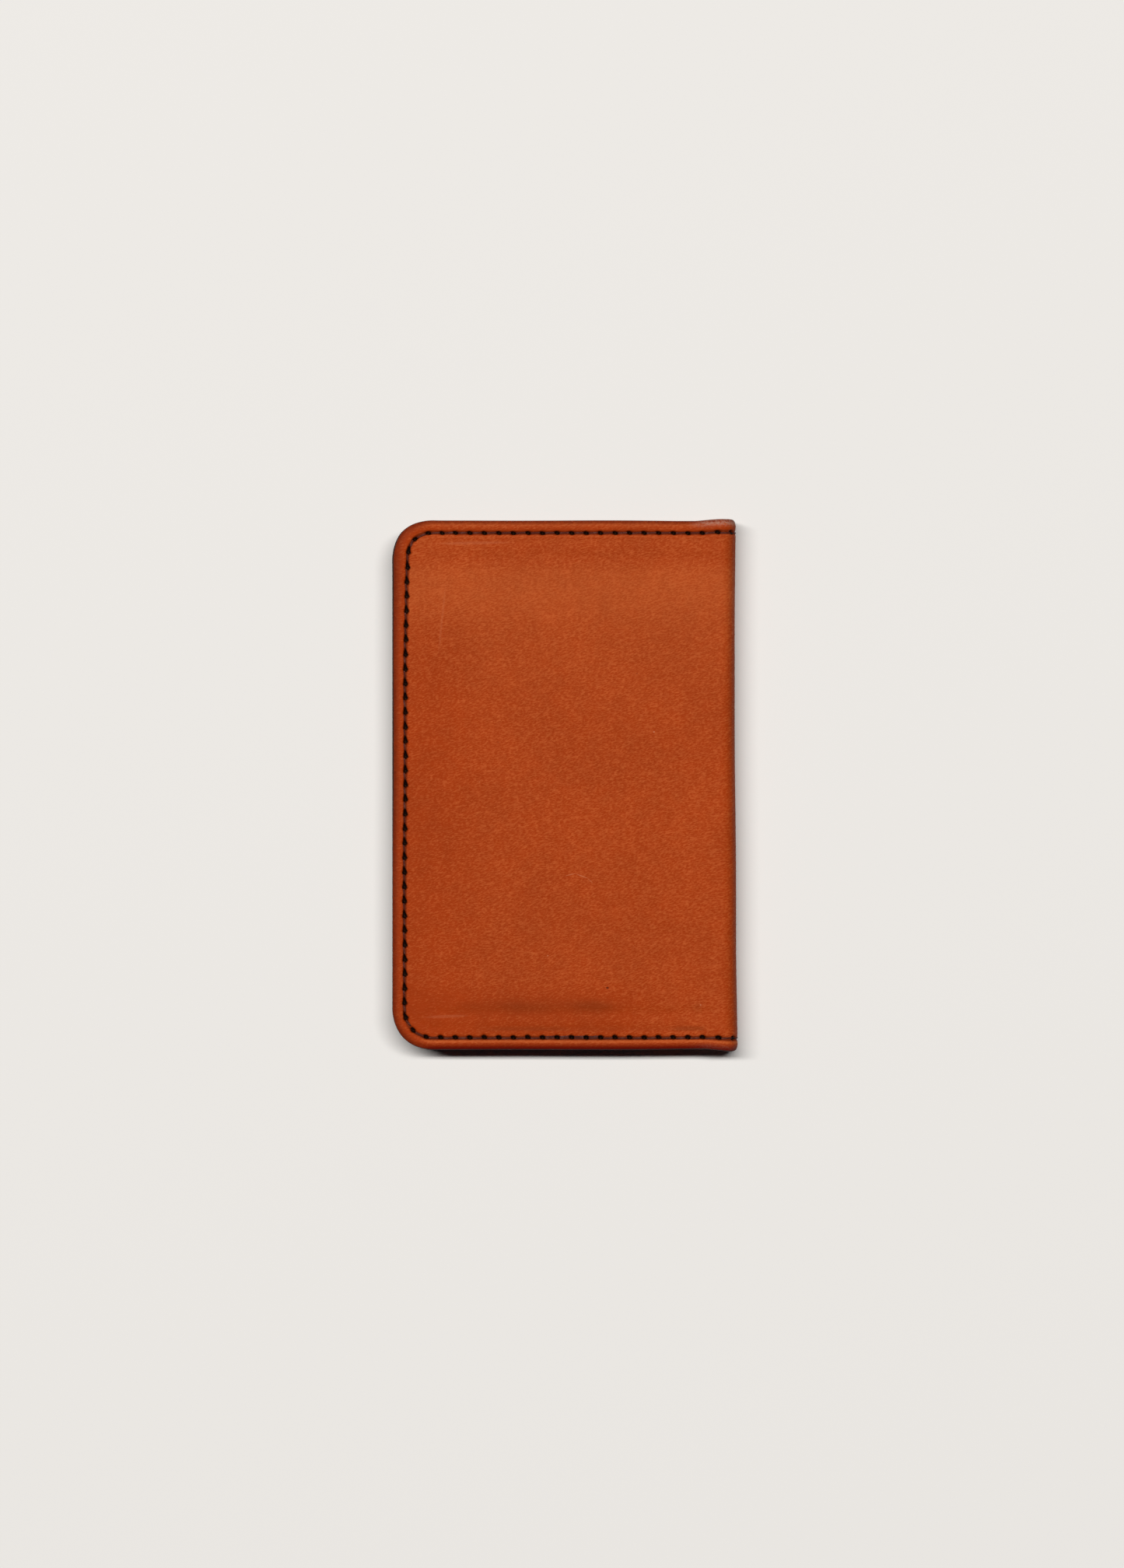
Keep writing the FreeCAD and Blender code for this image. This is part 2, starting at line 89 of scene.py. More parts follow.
# The seam, as on the model: its distance from the edge and its evenly spaced holes.
SEAM = 2.35
SEAM_RADIUS = CORNER - SEAM
FOLD_CLEAR = 2.73  # from the fold's axis to the row's first hole
FIRST_HOLE = HALF_W - COVER / 2 - FOLD_CLEAR
STITCHES = 76
ROW = FIRST_HOLE - (CORNER - HALF_W)  # length of the seam's straight stretch along a row
ARC = SEAM_RADIUS * math.pi / 2
PITCH = 2 * (ROW + ARC + HALF_H - CORNER) / STITCHES
SPINE_PITCH = (COVER_END - FIRST_HOLE) / 2
LAST_OF_ROW = math.floor((ROW + ARC / 2) / PITCH)  # hole numbers up to here belong to the upper row
COLUMNS = 12  # mesh columns from one hole to the next
CLOSEST_COLUMN = 0.4  # no column is nearer than this to the panel's end, in column steps
NO_COLUMN = 9.0  # the distance to the nearest hole that is given to points away from the seam


# ---------------------------------------------------------------- small numeric helpers


def smooth(x, low, high):
    """A soft step from 0 at low to 1 at high. It falls along x where high is below low."""
    t = np.clip((np.asarray(x, float) - low) / (high - low), 0, 1)
    return t * t * (3 - 2 * t)


def bell(x, centre, width):
    return np.exp(-(((np.asarray(x, float) - centre) / width) ** 2))


def bands(x, table):
    """The sum of soft steps. Each row of the table is an amount and the two ends of its step."""
    return sum(amount * smooth(x, low, high) for amount, low, high in table)


def lines(x, table):
    """The sum of soft lines. Each row of the table is an amount, a centre and a width."""
    return sum(amount * bell(x, centre, width) for amount, centre, width in table)


def waves(u, v, seed, scale, count=14):
    """A smooth field of random waves, about -1 to 1, that repeats exactly for one seed."""
    rng = np.random.default_rng(seed)
    total = np.zeros_like(u, float)
    for _ in range(count):
        angle = rng.uniform(0, 2 * math.pi)
        length = scale * rng.uniform(0.6, 1.8)
        phase = rng.uniform(0, 2 * math.pi)
        total += np.sin(2 * math.pi * (u * math.cos(angle) + v * math.sin(angle)) / length + phase)
    return total / math.sqrt(count / 2)


def hole_jitter(hole, seed):
    """A repeatable random number from -1 to 1 for each hole number."""
    x = np.sin((np.asarray(hole, float) + 1.7) * 12.9898 + seed * 78.233) * 43758.5453
    return 2 * (x - np.floor(x)) - 1


# ---------------------------------------------------------------- the plan of a panel


def along_seam(distance, inset=SEAM):
    """The plan point inset from the edge, and the direction inwards, at a distance along the upper half
    of the seam from the row's first hole. The distance is negative on the way to the spine."""
    corner = CORNER - HALF_W
    turn = (distance - ROW) / SEAM_RADIUS
    if turn <= 0:
        return (FIRST_HOLE - distance, HALF_H - inset), (0.0, -1.0)
    if turn < math.pi / 2:
        s, c = math.sin(turn), math.cos(turn)
        radius = CORNER - inset
        return (corner - radius * s, HALF_H - CORNER + radius * c), (s, -c)
    return (inset - HALF_W, HALF_H - CORNER + ROW + ARC - distance), (1.0, 0.0)


def seam_columns(end, lip=(0.0,)):
    """The columns round the three sewn sides. Each has its point on the outline, the direction inwards,
    its distance along the seam from the nearest hole, and that hole's number."""
    step = PITCH / COLUMNS
    ends = [FIRST_HOLE - (end - x) for x in lip]
    first = math.ceil((max(ends) + CLOSEST_COLUMN * step) / step)
    half = STITCHES * COLUMNS // 2
    distances = ends + [k * step for k in range(first, half + 1)]
    points, inward, along, holes = [], [], [], []
    for distance in distances:
        point, direction = along_seam(distance, 0.0)
        pitch = PITCH if distance > 0 else SPINE_PITCH
        hole = round(distance / pitch)
        points.append(point)
        inward.append(direction)
        along.append(distance - hole * pitch)
        holes.append(hole)
    for i in reversed(range(len(distances) - 1)):
        points.append((points[i][0], -points[i][1]))
        inward.append((inward[i][0], -inward[i][1]))
        along.append(-along[i])
        holes.append(STITCHES - holes[i])
    return {
        "point": np.array(points),
        "inward": np.array(inward, float),
        "along": np.array(along),
        "hole": np.array(holes),
    }


def grid_lines(low, high, coarse, dense_bands, dense):
    """Line positions from low to high: dense apart within the bands and coarse apart elsewhere."""
    places = [low]
    while places[-1] < high:
        here = places[-1]
        near = any(a - coarse < here < b for a, b in dense_bands)
        places.append(here + (dense if near else coarse))
    places[-1] = high
    if places[-1] - places[-2] < 0.5 * dense:
        del places[-2]
    return np.array(places)


CORNER_CLEAR = 0.15  # how far the middle's points keep from the innermost ring in a corner


def fill_inside(loop, end_line, us, vs, inset):
    """Triangles for the middle of a panel. loop is the innermost ring, end_line the points down the
    panel's end between its two ends. Returns the extra points and the triangles over all of them."""
    border = [tuple(p) for p in loop] + [tuple(p) for p in end_line]
    radius = CORNER - inset - CORNER_CLEAR
    inside = []
    for u in us[1:-1]:
        for v in vs[1:-1]:
            du = (CORNER - HALF_W) - u
            dv = abs(v) - (HALF_H - CORNER)
            if du > 0 and dv > 0 and math.hypot(du, dv) > radius:
                continue
            inside.append((u, v))
    points = border + inside
    edges = [(i, (i + 1) % len(border)) for i in range(len(border))]
    out = delaunay_2d_cdt([Vector(p) for p in points], edges, [], 1, 1e-6)
    original = [o[0] for o in out[3]]
    triangles = [tuple(original[i] for i in face) for face in out[2]]
    return np.array(inside), triangles


class Sheet:
    """A closed leather panel on the plan. face and back are called with arrays of u, v, inset from the
    edge, along and hole, and give each surface's height above the panel's base plane. rings_face and
    rings_back are the insets of the rings along the sewn edge. The two share the outline itself."""

    def __init__(self, end, lip, rings_face, rings_back, us, vs):
        self.columns = seam_columns(end, lip)
        self.end = end
        self.rings_face, self.rings_back = rings_face, rings_back
        inset = rings_face[-1]
        loop = self.columns["point"] + self.columns["inward"] * inset
        side = [(end, v) for v in vs[1:-1]]
        self.end_line = np.array(side)
        self.inside, self.triangles = fill_inside(loop, side, us, vs, inset)

    def points_of(self, rings):
        """Plan points of one surface: all its rings, then the end line and the middle."""
        col = self.columns
        plan = [col["point"] + col["inward"] * inset for inset in rings]
        inset = [np.full(len(col["point"]), r) for r in rings]
        extra = np.vstack([self.end_line, self.inside])
        plan.append(extra)
        inset.append(self.inset_of(extra))
        along = np.concatenate([col["along"]] * len(rings) + [np.full(len(extra), NO_COLUMN)])
        hole = np.concatenate([col["hole"]] * len(rings) + [np.zeros(len(extra))])
        plan = np.vstack(plan)
        return plan[:, 0], plan[:, 1], np.concatenate(inset), along, hole

    @staticmethod
    def inset_of(points):
        """Distance inwards from the outline's three sewn sides."""
        du = points[:, 0] + HALF_W
        dv = HALF_H - np.abs(points[:, 1])
        flat = np.minimum(du, dv)
        cu, cv = CORNER - du, CORNER - dv
        in_corner = (cu > 0) & (cv > 0)
        return np.where(in_corner, CORNER - np.hypot(cu, cv), flat)

    def faces_of(self, rings, first, flip):
        """Faces of one surface whose points start at index first."""
        n = len(self.columns["point"])
        faces = []
        for j in range(len(rings) - 1):
            for i in range(n - 1):
                a = first + j * n + i
                faces.append((a, a + n, a + n + 1, a + 1))
        last = first + (len(rings) - 1) * n
        for tri in self.triangles:
            faces.append(tuple(last + i for i in tri))
        if flip:
            faces = [f[::-1] for f in faces]
        return faces


def orient_triangles(sheet):
    """Makes every middle triangle wind the same way as the ring faces."""
    loop = sheet.columns["point"] + sheet.columns["inward"] * sheet.rings_face[-1]
    points = np.vstack([loop, sheet.end_line, sheet.inside])
    fixed = []
    for a, b, c in sheet.triangles:
        (ax, ay), (bx, by), (cx, cy) = points[a], points[b], points[c]
        area = (bx - ax) * (cy - ay) - (by - ay) * (cx - ax)
        fixed.append((a, b, c) if area > 0 else (a, c, b))
    sheet.triangles = fixed


def build_sheet(name, sheet, face, back, place, materials, marks):
    """Writes the closed mesh. place turns (u, v, height) into the row frame. Materials are the grain side
    and the flesh side. marks gives the named shading values of the grain side."""
    orient_triangles(sheet)
    u, v, s, along, hole = sheet.points_of(sheet.rings_face)
    u2, v2, s2, along2, hole2 = sheet.points_of(sheet.rings_back)
    face_count = len(u)
    heights = face(u, v, s, along, hole)
    heights2 = back(u2, v2, s2, along2, hole2)
    faces = sheet.faces_of(sheet.rings_face, 0, False)
    faces_back = sheet.faces_of(sheet.rings_back, face_count, True)
    columns = len(sheet.columns["point"])
    # The outline is one line of points shared by both sides, and so is the panel's end.
    weld = {face_count + i: i for i in range(columns)}
    end_first = len(sheet.rings_face) * columns
    end_first2 = face_count + len(sheet.rings_back) * columns
    faces += faces_back
    grain_faces = len(faces) - len(faces_back)
    faces = [tuple(weld.get(i, i) for i in f) for f in faces]
    all_u, all_v = np.concatenate([u, u2]), np.concatenate([v, v2])
    all_h = np.concatenate([heights, heights2])
    # Walls at the panel's end join the face and back where their points do not coincide.
    end_face = [j * columns for j in range(len(sheet.rings_face))]
    end_face += [end_first + i for i in range(len(sheet.end_line))][::-1]
    end_face += [(j + 1) * columns - 1 for j in reversed(range(len(sheet.rings_face)))]
    end_back = [face_count + j * columns for j in range(1, len(sheet.rings_back))]
    end_back += [end_first2 + i for i in range(len(sheet.end_line))][::-1]
    end_back += [
        face_count + (j + 1) * columns - 1 for j in reversed(range(1, len(sheet.rings_back)))
    ]
    cap = end_face + end_back[::-1]
    faces.append(tuple(cap))
    xyz = place(all_u, all_v, all_h) * MM
    mesh = bpy.data.meshes.new(name)
    mesh.from_pydata(xyz.tolist(), [], faces)
    mesh.update()
    for material in materials:
        mesh.materials.append(material)
    index = np.zeros(len(mesh.polygons), int)
    index[grain_faces + WALL_RINGS * (columns - 1) : -1] = 1
    mesh.polygons.foreach_set("material_index", index)
    mesh.polygons.foreach_set("use_smooth", np.ones(len(mesh.polygons), bool))
    add_plan_uv(mesh, np.concatenate([u, u2 + BACK_SHIFT]), all_v)
    for key, value in marks(u, v, s, along, hole).items():
        add_mark(mesh, key, np.concatenate([value, flesh_mark(key, u2, v2, s2)]))
    mesh.polygons[len(mesh.polygons) - 1].use_smooth = False
    keep_end_sharp(mesh)
    obj = add_object(name, mesh)
    drop_loose(mesh)
    return obj


def add_object(name, data):
    obj = bpy.data.objects.new(name, data)
    bpy.context.scene.collection.objects.link(obj)
    return obj


def rawness(u):
    """How raw the cut edge looks: it opens up where the sheet is bent at head and tail."""
    return smooth(u, 23.5, 28.5)


def flesh_mark(key, u, v, s):
    """A shading value on the flesh side, where only the edge's own colour, with the painted shade of the
    lower rim and the edge walls, reaches round a little.
    """
    edge = smooth(s, 0.9, 0.15)
    if key in ("edge", "burn"):
        return edge
    if key == "raw":
        return rawness(u) * smooth(s, 0.5, 0.15)
    if key == "deep":
        return row_weights(u, v)[1] * edge
    return np.zeros(len(u))


def add_mark(mesh, key, value):
    attribute = mesh.attributes.new(key, "FLOAT", "POINT")
    attribute.data.foreach_set("value", value.astype(np.float32))


def keep_end_sharp(mesh):
    """Marks the outline of the panel's end wall, the last face, so that its shading stops there."""
    wall = mesh.polygons[len(mesh.polygons) - 1]
    sharp = mesh.attributes.new("sharp_edge", "BOOLEAN", "EDGE")
    for loop in range(wall.loop_start, wall.loop_start + wall.loop_total):
        sharp.data[mesh.loops[loop].edge_index].value = True


UV_UNIT = 100.0  # millimetres to one unit of the plan's UV map
BACK_SHIFT = 200.0  # how far along the plan the flesh side has its own stretch of the map


def add_plan_uv(mesh, u, v):
    """Keeps the plan in a UV map, so that grain keeps its size and stays with leather that bends."""
    uv = mesh.uv_layers.new(name="plan")
    point = np.zeros(len(mesh.loops), int)
    mesh.loops.foreach_get("vertex_index", point)
    plan = np.column_stack([u[point], v[point]]) / UV_UNIT
    uv.data.foreach_set("uv", plan.astype(np.float32).ravel())


def drop_loose(mesh):
    """Removes points that no face uses, and turns every face outwards."""
    bm = bmesh.new()
    bm.from_mesh(mesh)
    loose = [p for p in bm.verts if not p.link_faces]
    bmesh.ops.delete(bm, geom=loose, context="VERTS")
    bmesh.ops.recalc_face_normals(bm, faces=bm.faces)
    bm.to_mesh(mesh)
    bm.free()


# ---------------------------------------------------------------- placing a panel in the row frame


def from_edge(u, v):
    """Distance inwards from the sewn edge, anywhere on a half."""
    left, up = CORNER - HALF_W - u, np.abs(v) - (HALF_H - CORNER)
    straight = np.minimum(u + HALF_W, HALF_H - np.abs(v))
    return np.where((left > 0) & (up > 0), CORNER - np.hypot(left, up), straight)


STRAY = ((0.06, -16, 2), (0.28, 22, 38), (0.2, 38, 44))  # bands along v
UPPER_PULL, LOWER_PULL = 0.42, 0.18
PULL_INSET, PULL_REACH = 3.2, 3.6  # where a corner's pull is full, from both edges, and how far it reaches
BOW = 0.14
BOW_BANDS = ((0.16, 30, 51), (0.27, 12, -20), (0.26, -30, -51))  # along v


def wander(u, v):
    """How far the side's stitch line strays inwards, most of it near the upper corner."""
    s = from_edge(u, v)
    near_seam = smooth(s, 0.3, 2.0) * smooth(s, 8.0, 3.2) * smooth(u, -20, -27)
    return near_seam * bands(v, STRAY)


def corner_pull(u, v):
    """How far the two outer corners stand out along their diagonals, the upper one further."""
    far = np.hypot(u + HALF_W - PULL_INSET, np.abs(v) - HALF_H + PULL_INSET)
    return bell(far, 0, PULL_REACH) * np.where(v > 0, UPPER_PULL, LOWER_PULL)


def fold_bow(v):
    """How far the fold stands out past its straight line: a little at the head and more at the tail."""
    return BOW + bands(v, BOW_BANDS)


def lay_flat(side, level):
    """Places a panel of one half. Its height runs inwards from the half's outer face, plus level."""

    def place(u, v, h):
        z = level + h
        pull = corner_pull(u, v)
        x, y = u + wander(u, v) - pull, v + np.sign(v) * pull
        return np.column_stack([x, y, z if side == "back" else TOP_Z - z])

    return place


def wrap(side):
    """Places the cover, whose height 0 is the holder's outer face and whose height runs inwards. Past
    FOLD_START it turns round the fold and runs down the spine."""

    def place(u, v, h):
        angle = np.clip((u - FOLD_START) / FOLD_R, 0, math.pi / 2)
        r = FOLD_R - h
        flat = u < FOLD_START
        past = np.clip(u - FOLD_START - FOLD_LENGTH, 0, None)
        x = np.where(flat, u, FOLD_START + r * np.sin(angle))
        depth = np.where(flat, h, FOLD_R - r * np.cos(angle)) + past
        pull = corner_pull(u, v)
        x = x + wander(u, v) - pull + fold_bow(v) * smooth(u, FOLD_START - 3, FOLD_START + 3)
        return np.column_stack([x, v + np.sign(v) * pull, depth if side == "back" else TOP_Z - depth])

    return place


# ---------------------------------------------------------------- leather surfaces

EDGE_ROUND = 1.25  # how far in from the edge the cover starts to round off
SKIN, SINK = 0.02, 0.28  # least depth of the outer face, and how far it sinks between fold and edge
BULGES = ((0.09, 1.25, 0.6), (0.07, 3.35, 0.5))  # on both sides of the groove
GROOVE_DEPTH, GROOVE_WIDTH = 0.24, 0.36
PIT_DEPTH = 0.58
LOWER_LINE = 0.14  # how far the lower row's groove lies outside the seam
RINGS_FACE = (
    0, 0.02, 0.07, 0.16, 0.3, 0.48, 0.7, 0.95, 1.25, 1.55, 1.78, 1.95, 2.08, 2.2,
    2.32, 2.44, 2.56, 2.7, 2.86, 3.08, 3.4, MARGIN,
)  # fmt: skip
RINGS_BACK = (0, 0.0, 0.05, 0.16, 0.6, MARGIN)
WALL_RINGS = 3  # how many of the back's first bands of faces are still the burnished edge


def rounded(s, width, drop):
    """Fall of a rounded edge: drop at the edge itself and 0 from width inwards, as a quarter ellipse."""
    t = np.clip(1 - s / width, 0, 1)
    return drop * (1 - np.sqrt(1 - t * t))


def on_side(hole):
    """True for the holes of the side, and False for those of the two rows."""
    return (hole > LAST_OF_ROW) & (hole < STITCHES - LAST_OF_ROW)


SIDE_TURN, ROW_TURN = 9.0, -16.0  # degrees that a hole leans by
STRAY_ALONG, STRAY_ACROSS = 0.06, 0.05  # how far a hole lies from its even place at most
HOLE_INSET = 0.05
SLIT_LONG, SLIT_UPPER, SLIT_LOWER = 0.58, 0.37, 0.44  # half sizes, the widths for each row
DROP_LONG, DROP_WIDE, DROP_HEAD, DROP_TAIL = 0.5, 0.53, 0.05, 1.45
HOLE_FLOOR, HOLE_RIM = 0.72, 1.12  # where the floor ends and the rim starts, in half sizes


def hole_shape(s, along, hole):
    """Depth of the awl holes, 0 to 1. On a row each is a short slit that leans across the seam. On the
    side it is a drop, pulled long by the stitch that goes down into it."""
    side = on_side(hole)
    lean = np.radians(np.where(side, SIDE_TURN, ROW_TURN))
    x = along - STRAY_ALONG * hole_jitter(hole, 1)
    y = s - SEAM - STRAY_ACROSS * hole_jitter(hole, 2) - HOLE_INSET
    a = x * np.cos(lean) + y * np.sin(lean)
    b = y * np.cos(lean) - x * np.sin(lean)
    slit = np.hypot(a / SLIT_LONG, b / np.where(hole < STITCHES / 2, SLIT_UPPER, SLIT_LOWER))
    past = a - DROP_HEAD
    head = np.hypot(past / DROP_LONG, b / DROP_WIDE)
    tail = np.abs(b) / (DROP_WIDE * np.clip(1 + past / DROP_TAIL, 0.02, 1.0))
    drop = np.where(past > 0, head, tail)
    return smooth(np.where(side, drop, slit), HOLE_RIM, HOLE_FLOOR)


PRESS = 0.10  # height of each pressed-through outline
POCKET_EDGE, CARD_SIDE, CARD_END = (MARGIN, 5.4), (8.2, 9.8), (7.3, 8.7)  # where each rises, from the edge
CARD_TURN = 0.018  # the card lies a little askew
CARD_DIP = ((0.045, 6.9, 0.8),)  # beside the card's ends


def card_relief(u, v, s):
    """The pocket's edge and the card's edge, pressed through the cover from inside."""
    dv = HALF_H - np.abs(v)
    du = u + HALF_W
    pocket = smooth(s, *POCKET_EDGE)
    card = smooth(du - CARD_TURN * v, *CARD_SIDE) * smooth(dv, *CARD_END)
    mouth = smooth(u, MOUTH["pocket_front"] + 1.6, MOUTH["pocket_front"] - 0.5)
    dip = lines(dv, CARD_DIP) * smooth(du, 5, 12)
    return (PRESS * pocket + PRESS * card - dip) * mouth


def calm_past(u):
    """1 on a half and 0 on the spine, where the leather is stretched smooth."""
    return smooth(u, FOLD_START + 3, FOLD_START - 1)


def cover_level(u, strength):
    """Height of the cover's outer face before its relief: it sinks a little between fold and edge."""
    return SKIN + SINK * strength * smooth(u, FOLD_START + 1, FOLD_START - 4)


def cover_face(strength, seed):
    """Outer face of the cover. Height runs inwards, and whatever stands out is taken off it."""

    def face(u, v, s, along, hole):
        calm = calm_past(u)
        wide = rounded(s, EDGE_ROUND, COVER / 2)
        bulge = lines(s, BULGES) * (0.2 + 0.8 * calm)
        line = SEAM - LOWER_LINE * row_weights(u, v)[1]
        pull = 0.8 + 0.2 * np.cos(2 * math.pi * along / PITCH)  # deepest at each hole
        groove = GROOVE_DEPTH * bell(s, line, GROOVE_WIDTH) * pull
        pits = PIT_DEPTH * hole_shape(s, along, hole)
        swell = 0.035 * waves(u, v, seed, 24) + 0.012 * waves(u, v, seed + 1, 7)
        swell *= smooth(s, 0, 4)
        field = card_relief(u, v, s) * strength
        ripple = 0.02 * waves(u, v, seed + 2, 5) * smooth(s, 3, 0.5)
        out = bulge - groove - pits + (swell + field) * calm + ripple
        return cover_level(u, strength) + wide - out

    return face


def cover_back_face(u, v, s, along, hole):
    """Flesh side of the cover, with a small chamfer at the cut edge."""
    rim = np.where(s <= 0.001, COVER - 0.14, COVER - 0.05 * smooth(s, 0.16, 0))
    return rim + 0.012 * waves(u, v, 91, 9) * smooth(s, 3, 5)


EDGE_DRIFT = 0.07
SIDE_TRIM = 0.12  # how far inside the model's outline the side is cut


def outline_drift(place, seed, flare):
    """Small wander of the cut edge, and the flare of the sheet where it is bent at head and tail."""

    def moved(u, v, h):
        near_v, near_u = smooth(HALF_H - np.abs(v), 5, 0), smooth(u + HALF_W, 5, 0)
        flared = flare * np.where(v > 0, smooth(u, 24.5, 30.5), 1.2 * smooth(u, 26.5, 33.0))
        flared *= 1 - 0.28 * smooth(u, 31.8, 35.5)
        zero = np.zeros_like(u)
        push = EDGE_DRIFT * waves(u, zero, seed, 46) + flared
        pull = EDGE_DRIFT * waves(zero, v, seed + 5, 52) - SIDE_TRIM
        return place(u - pull * near_u, v + np.sign(v) * push * near_v, h)

    return moved


def row_weights(u, v):
    """Where the upper row's and the lower row's margins are, 0 to 1."""
    clear = smooth(u, -29, -25)
    return clear * smooth(v, 44, 49), clear * smooth(v, -44, -49)


# Bands and lines where the cover is lighter or darker, in the units of TONE_STEP; some are painted
# highlights and painted shade, as noted.
HEAD_BANDS = ((0.75, 28, 38), (-1.1, 40, 44), (0.45, 8, 34))  # along v
HEAD_LINES = ((0.5, 46.9, 0.6),)
FOOT_BANDS = ((-1.0, -37.5, -43),)
FOOT_LINES = ((0.35, -45.4, 0.9), (0.5, -48.0, 0.5))
SIDE_BANDS = ((-0.55, -12, -27),)  # along u
# painted shade where the cover turns round the fold, away from the light
FOLD_SHADE_BANDS = ((-0.9, FOLD_START + 0.6, FOLD_START + 3.6),)
UPPER_BANDS = ((-0.5, 1, 1.3),)  # from the edge inwards
# painted highlights on the upper rim's crest and on the groove's inner wall, both facing the light, and
# painted shade on the groove's outer wall
UPPER_LIGHT_AND_SHADE_LINES = ((1.1, 0.8, 0.3), (0.8, 3.0, 0.25), (-1.2, 1.95, 0.25))
# painted highlight on the lower groove's outer wall, which faces the light
LOWER_HIGHLIGHT_LINES = ((3.4, 1.62, 0.25),)
RIM_BANDS = ((-0.9, 2.3, 1.9),)


def cover_tone(u, v, s):
    """Where the cover is lighter (above 0) or darker (below 0) than its mean, with painted highlights and
    painted shade at the seam's groove, the upper rim and the fold.
    """
    upper, lower = row_weights(u, v)
    foot = bands(v, FOOT_BANDS) + lines(v, FOOT_LINES)
    foot *= 1 - 0.95 * smooth(u, 8, 24)
    side = bands(u, SIDE_BANDS) * smooth(v, 44, 20)
    field = bands(v, HEAD_BANDS) + lines(v, HEAD_LINES) + foot + side
    upper_margin = upper * (lines(s, UPPER_LIGHT_AND_SHADE_LINES) + bands(s, UPPER_BANDS))
    lower_margin = lower * lines(s, LOWER_HIGHLIGHT_LINES)
    rim = bands(s, RIM_BANDS) * (1 - upper)
    return field * smooth(s, 2.3, 2.9) + upper_margin + lower_margin + rim + bands(u, FOLD_SHADE_BANDS)


FRAYED_BANDS = ((0.35, 0.6, 0.1),)  # from the edge inwards
# a pale line on the rim's crest: partly raw fibre, partly a painted highlight where the crest faces the
# light
FRAYED_AND_HIGHLIGHT_LINES = ((0.95, 0.72, 0.4),)
CARD_RUB = ((1.0, -42.7, 1.3),)  # along v
POCKET_RUB = ((1.4, -46.95, 0.3),)
SPOT_U, SPOT_V, SPOT_SIZE = 25.9, -42.8, 0.9


def rubbed(u, v, seed):
    """Where the lower field is rubbed dark: over the card's end, along the pocket's edge, and a spot."""
    card = lines(v, CARD_RUB) * smooth(u, -24, -10) * smooth(u, 16, 3)
    patches = 0.3 + 0.5 * smooth(u, -15, -12) * smooth(u, 2, -1) + 0.9 * smooth(u, 20, 23)
    pocket = lines(v, POCKET_RUB) * patches * smooth(u, -18, -14) * smooth(u, 28, 26)
    spot = bell(np.hypot(u - SPOT_U, v - SPOT_V), 0, SPOT_SIZE)
    return card * (1.0 + 0.25 * waves(u, v, seed, 9)) + pocket + 0.6 * spot


def cover_marks(smudged, used, seed):
    """Shading values of the cover's grain side. smudged is how strong the tone's bands, with their painted
    highlights and painted shade, and the rubs are, and used is 1 on the half that has the small marks."""

    def marks(u, v, s, along, hole):
        upper, lower = row_weights(u, v)
        fold_end = FOLD_START + FOLD_LENGTH
        # painted shade where the cover turns round the fold, away from the light
        bent = smooth(u, FOLD_START + 1.0, FOLD_START + 4.0)
        bent *= 1 - 0.6 * smooth(u, fold_end, fold_end + 1.6)
        frayed_and_highlight = bands(s, FRAYED_BANDS) + lines(s, FRAYED_AND_HIGHLIGHT_LINES)
        return {
            # the burnished edge band is narrower on the upper row, so that its lit rim shows lighter, and
            # weaker on the lower row, where painted shade takes over
            "edge": smooth(s, 1.7 - 0.5 * upper, 0.1) * (1 - 0.6 * lower),
            # near-black burnished edge dye, partly painted shade: it reaches further in on the lower edge
            # and is weaker on the upper, lit edge
            "burn": smooth(s, 0.14 + 0.16 * lower, 0.0) * (1 - 0.6 * upper),
            # painted shade: the lower rim faces away from the light and is darkened towards deep red
            "deep": lower * smooth(s, 1.35, 0.3),
            # raw fibre near the fold, with a painted highlight on the upper rim's crest; kept weak on the
            # lower row, which faces away from the light
            "raw": frayed_and_highlight * rawness(u) * (1 - 0.85 * lower),
            # painted shade in the awl holes
            "pit": np.clip(hole_shape(s, along, hole) * 1.3, 0, 1),
            # painted shade along the stitch groove
            "trench": smooth(np.abs(s - SEAM - 0.02 + LOWER_LINE * lower), 0.5, 0.24),
            "rub": np.clip(smudged * rubbed(u, v, seed), 0, 1),
            "tone": smudged * cover_tone(u, v, s),
            "bent": bent,
            "used": np.full_like(s, used),
        }

    return marks


# ---------------------------------------------------------------- pockets

POCKET_RINGS = (0, 0.02, 0.08, 0.2, 0.38, 0.65, 1.1, 1.6, 1.95, 2.2, 2.35, 2.5, 2.75, 3.1, 3.5, MARGIN)
POCKET_BACK_RINGS = (0, 0.0, 0.05, 0.16, 0.6, 1.6, 3.1, MARGIN)
LIP = (0.0, 0.02, 0.07, 0.15, 0.26, 0.4)  # mesh lines of the mouth's rounded lip
LIP_DROP = PANEL / 2 - 0.02
CREASE = 1.9  # the creased line's distance from the mouth
POCKET_PIT = 0.35


def pocket_field(mouth, rise, slope, seed):
    """Height of the pocket's field, which rises over its card and sags a little towards the mouth."""

    def field(u, v, s):
        sag = 0.10 * bell(v, 0, 30) * bell(mouth - u, 0, 12) * smooth(s, 4, 9)
        swell = 0.02 * waves(u, v, seed, 16) * smooth(s, 4, 7)
        return rise * smooth(s, *slope) - sag + swell

    return field


def pocket_face(mouth, field):
    """The side of a pocket that shows when the holder is open, measured from the panel's base."""

    def face(u, v, s, along, hole):
        lip = rounded(mouth - u, LIP[-1], LIP_DROP)
        edge = rounded(s, 0.55, PANEL / 2)
        crease = 0.10 * bell(mouth - u, CREASE, 0.22) * smooth(s, 3.6, 4.2)
        pits = POCKET_PIT * hole_shape(s, along, hole)
        return PANEL + field(u, v, s) - np.maximum(lip, edge) - crease - pits

    return face


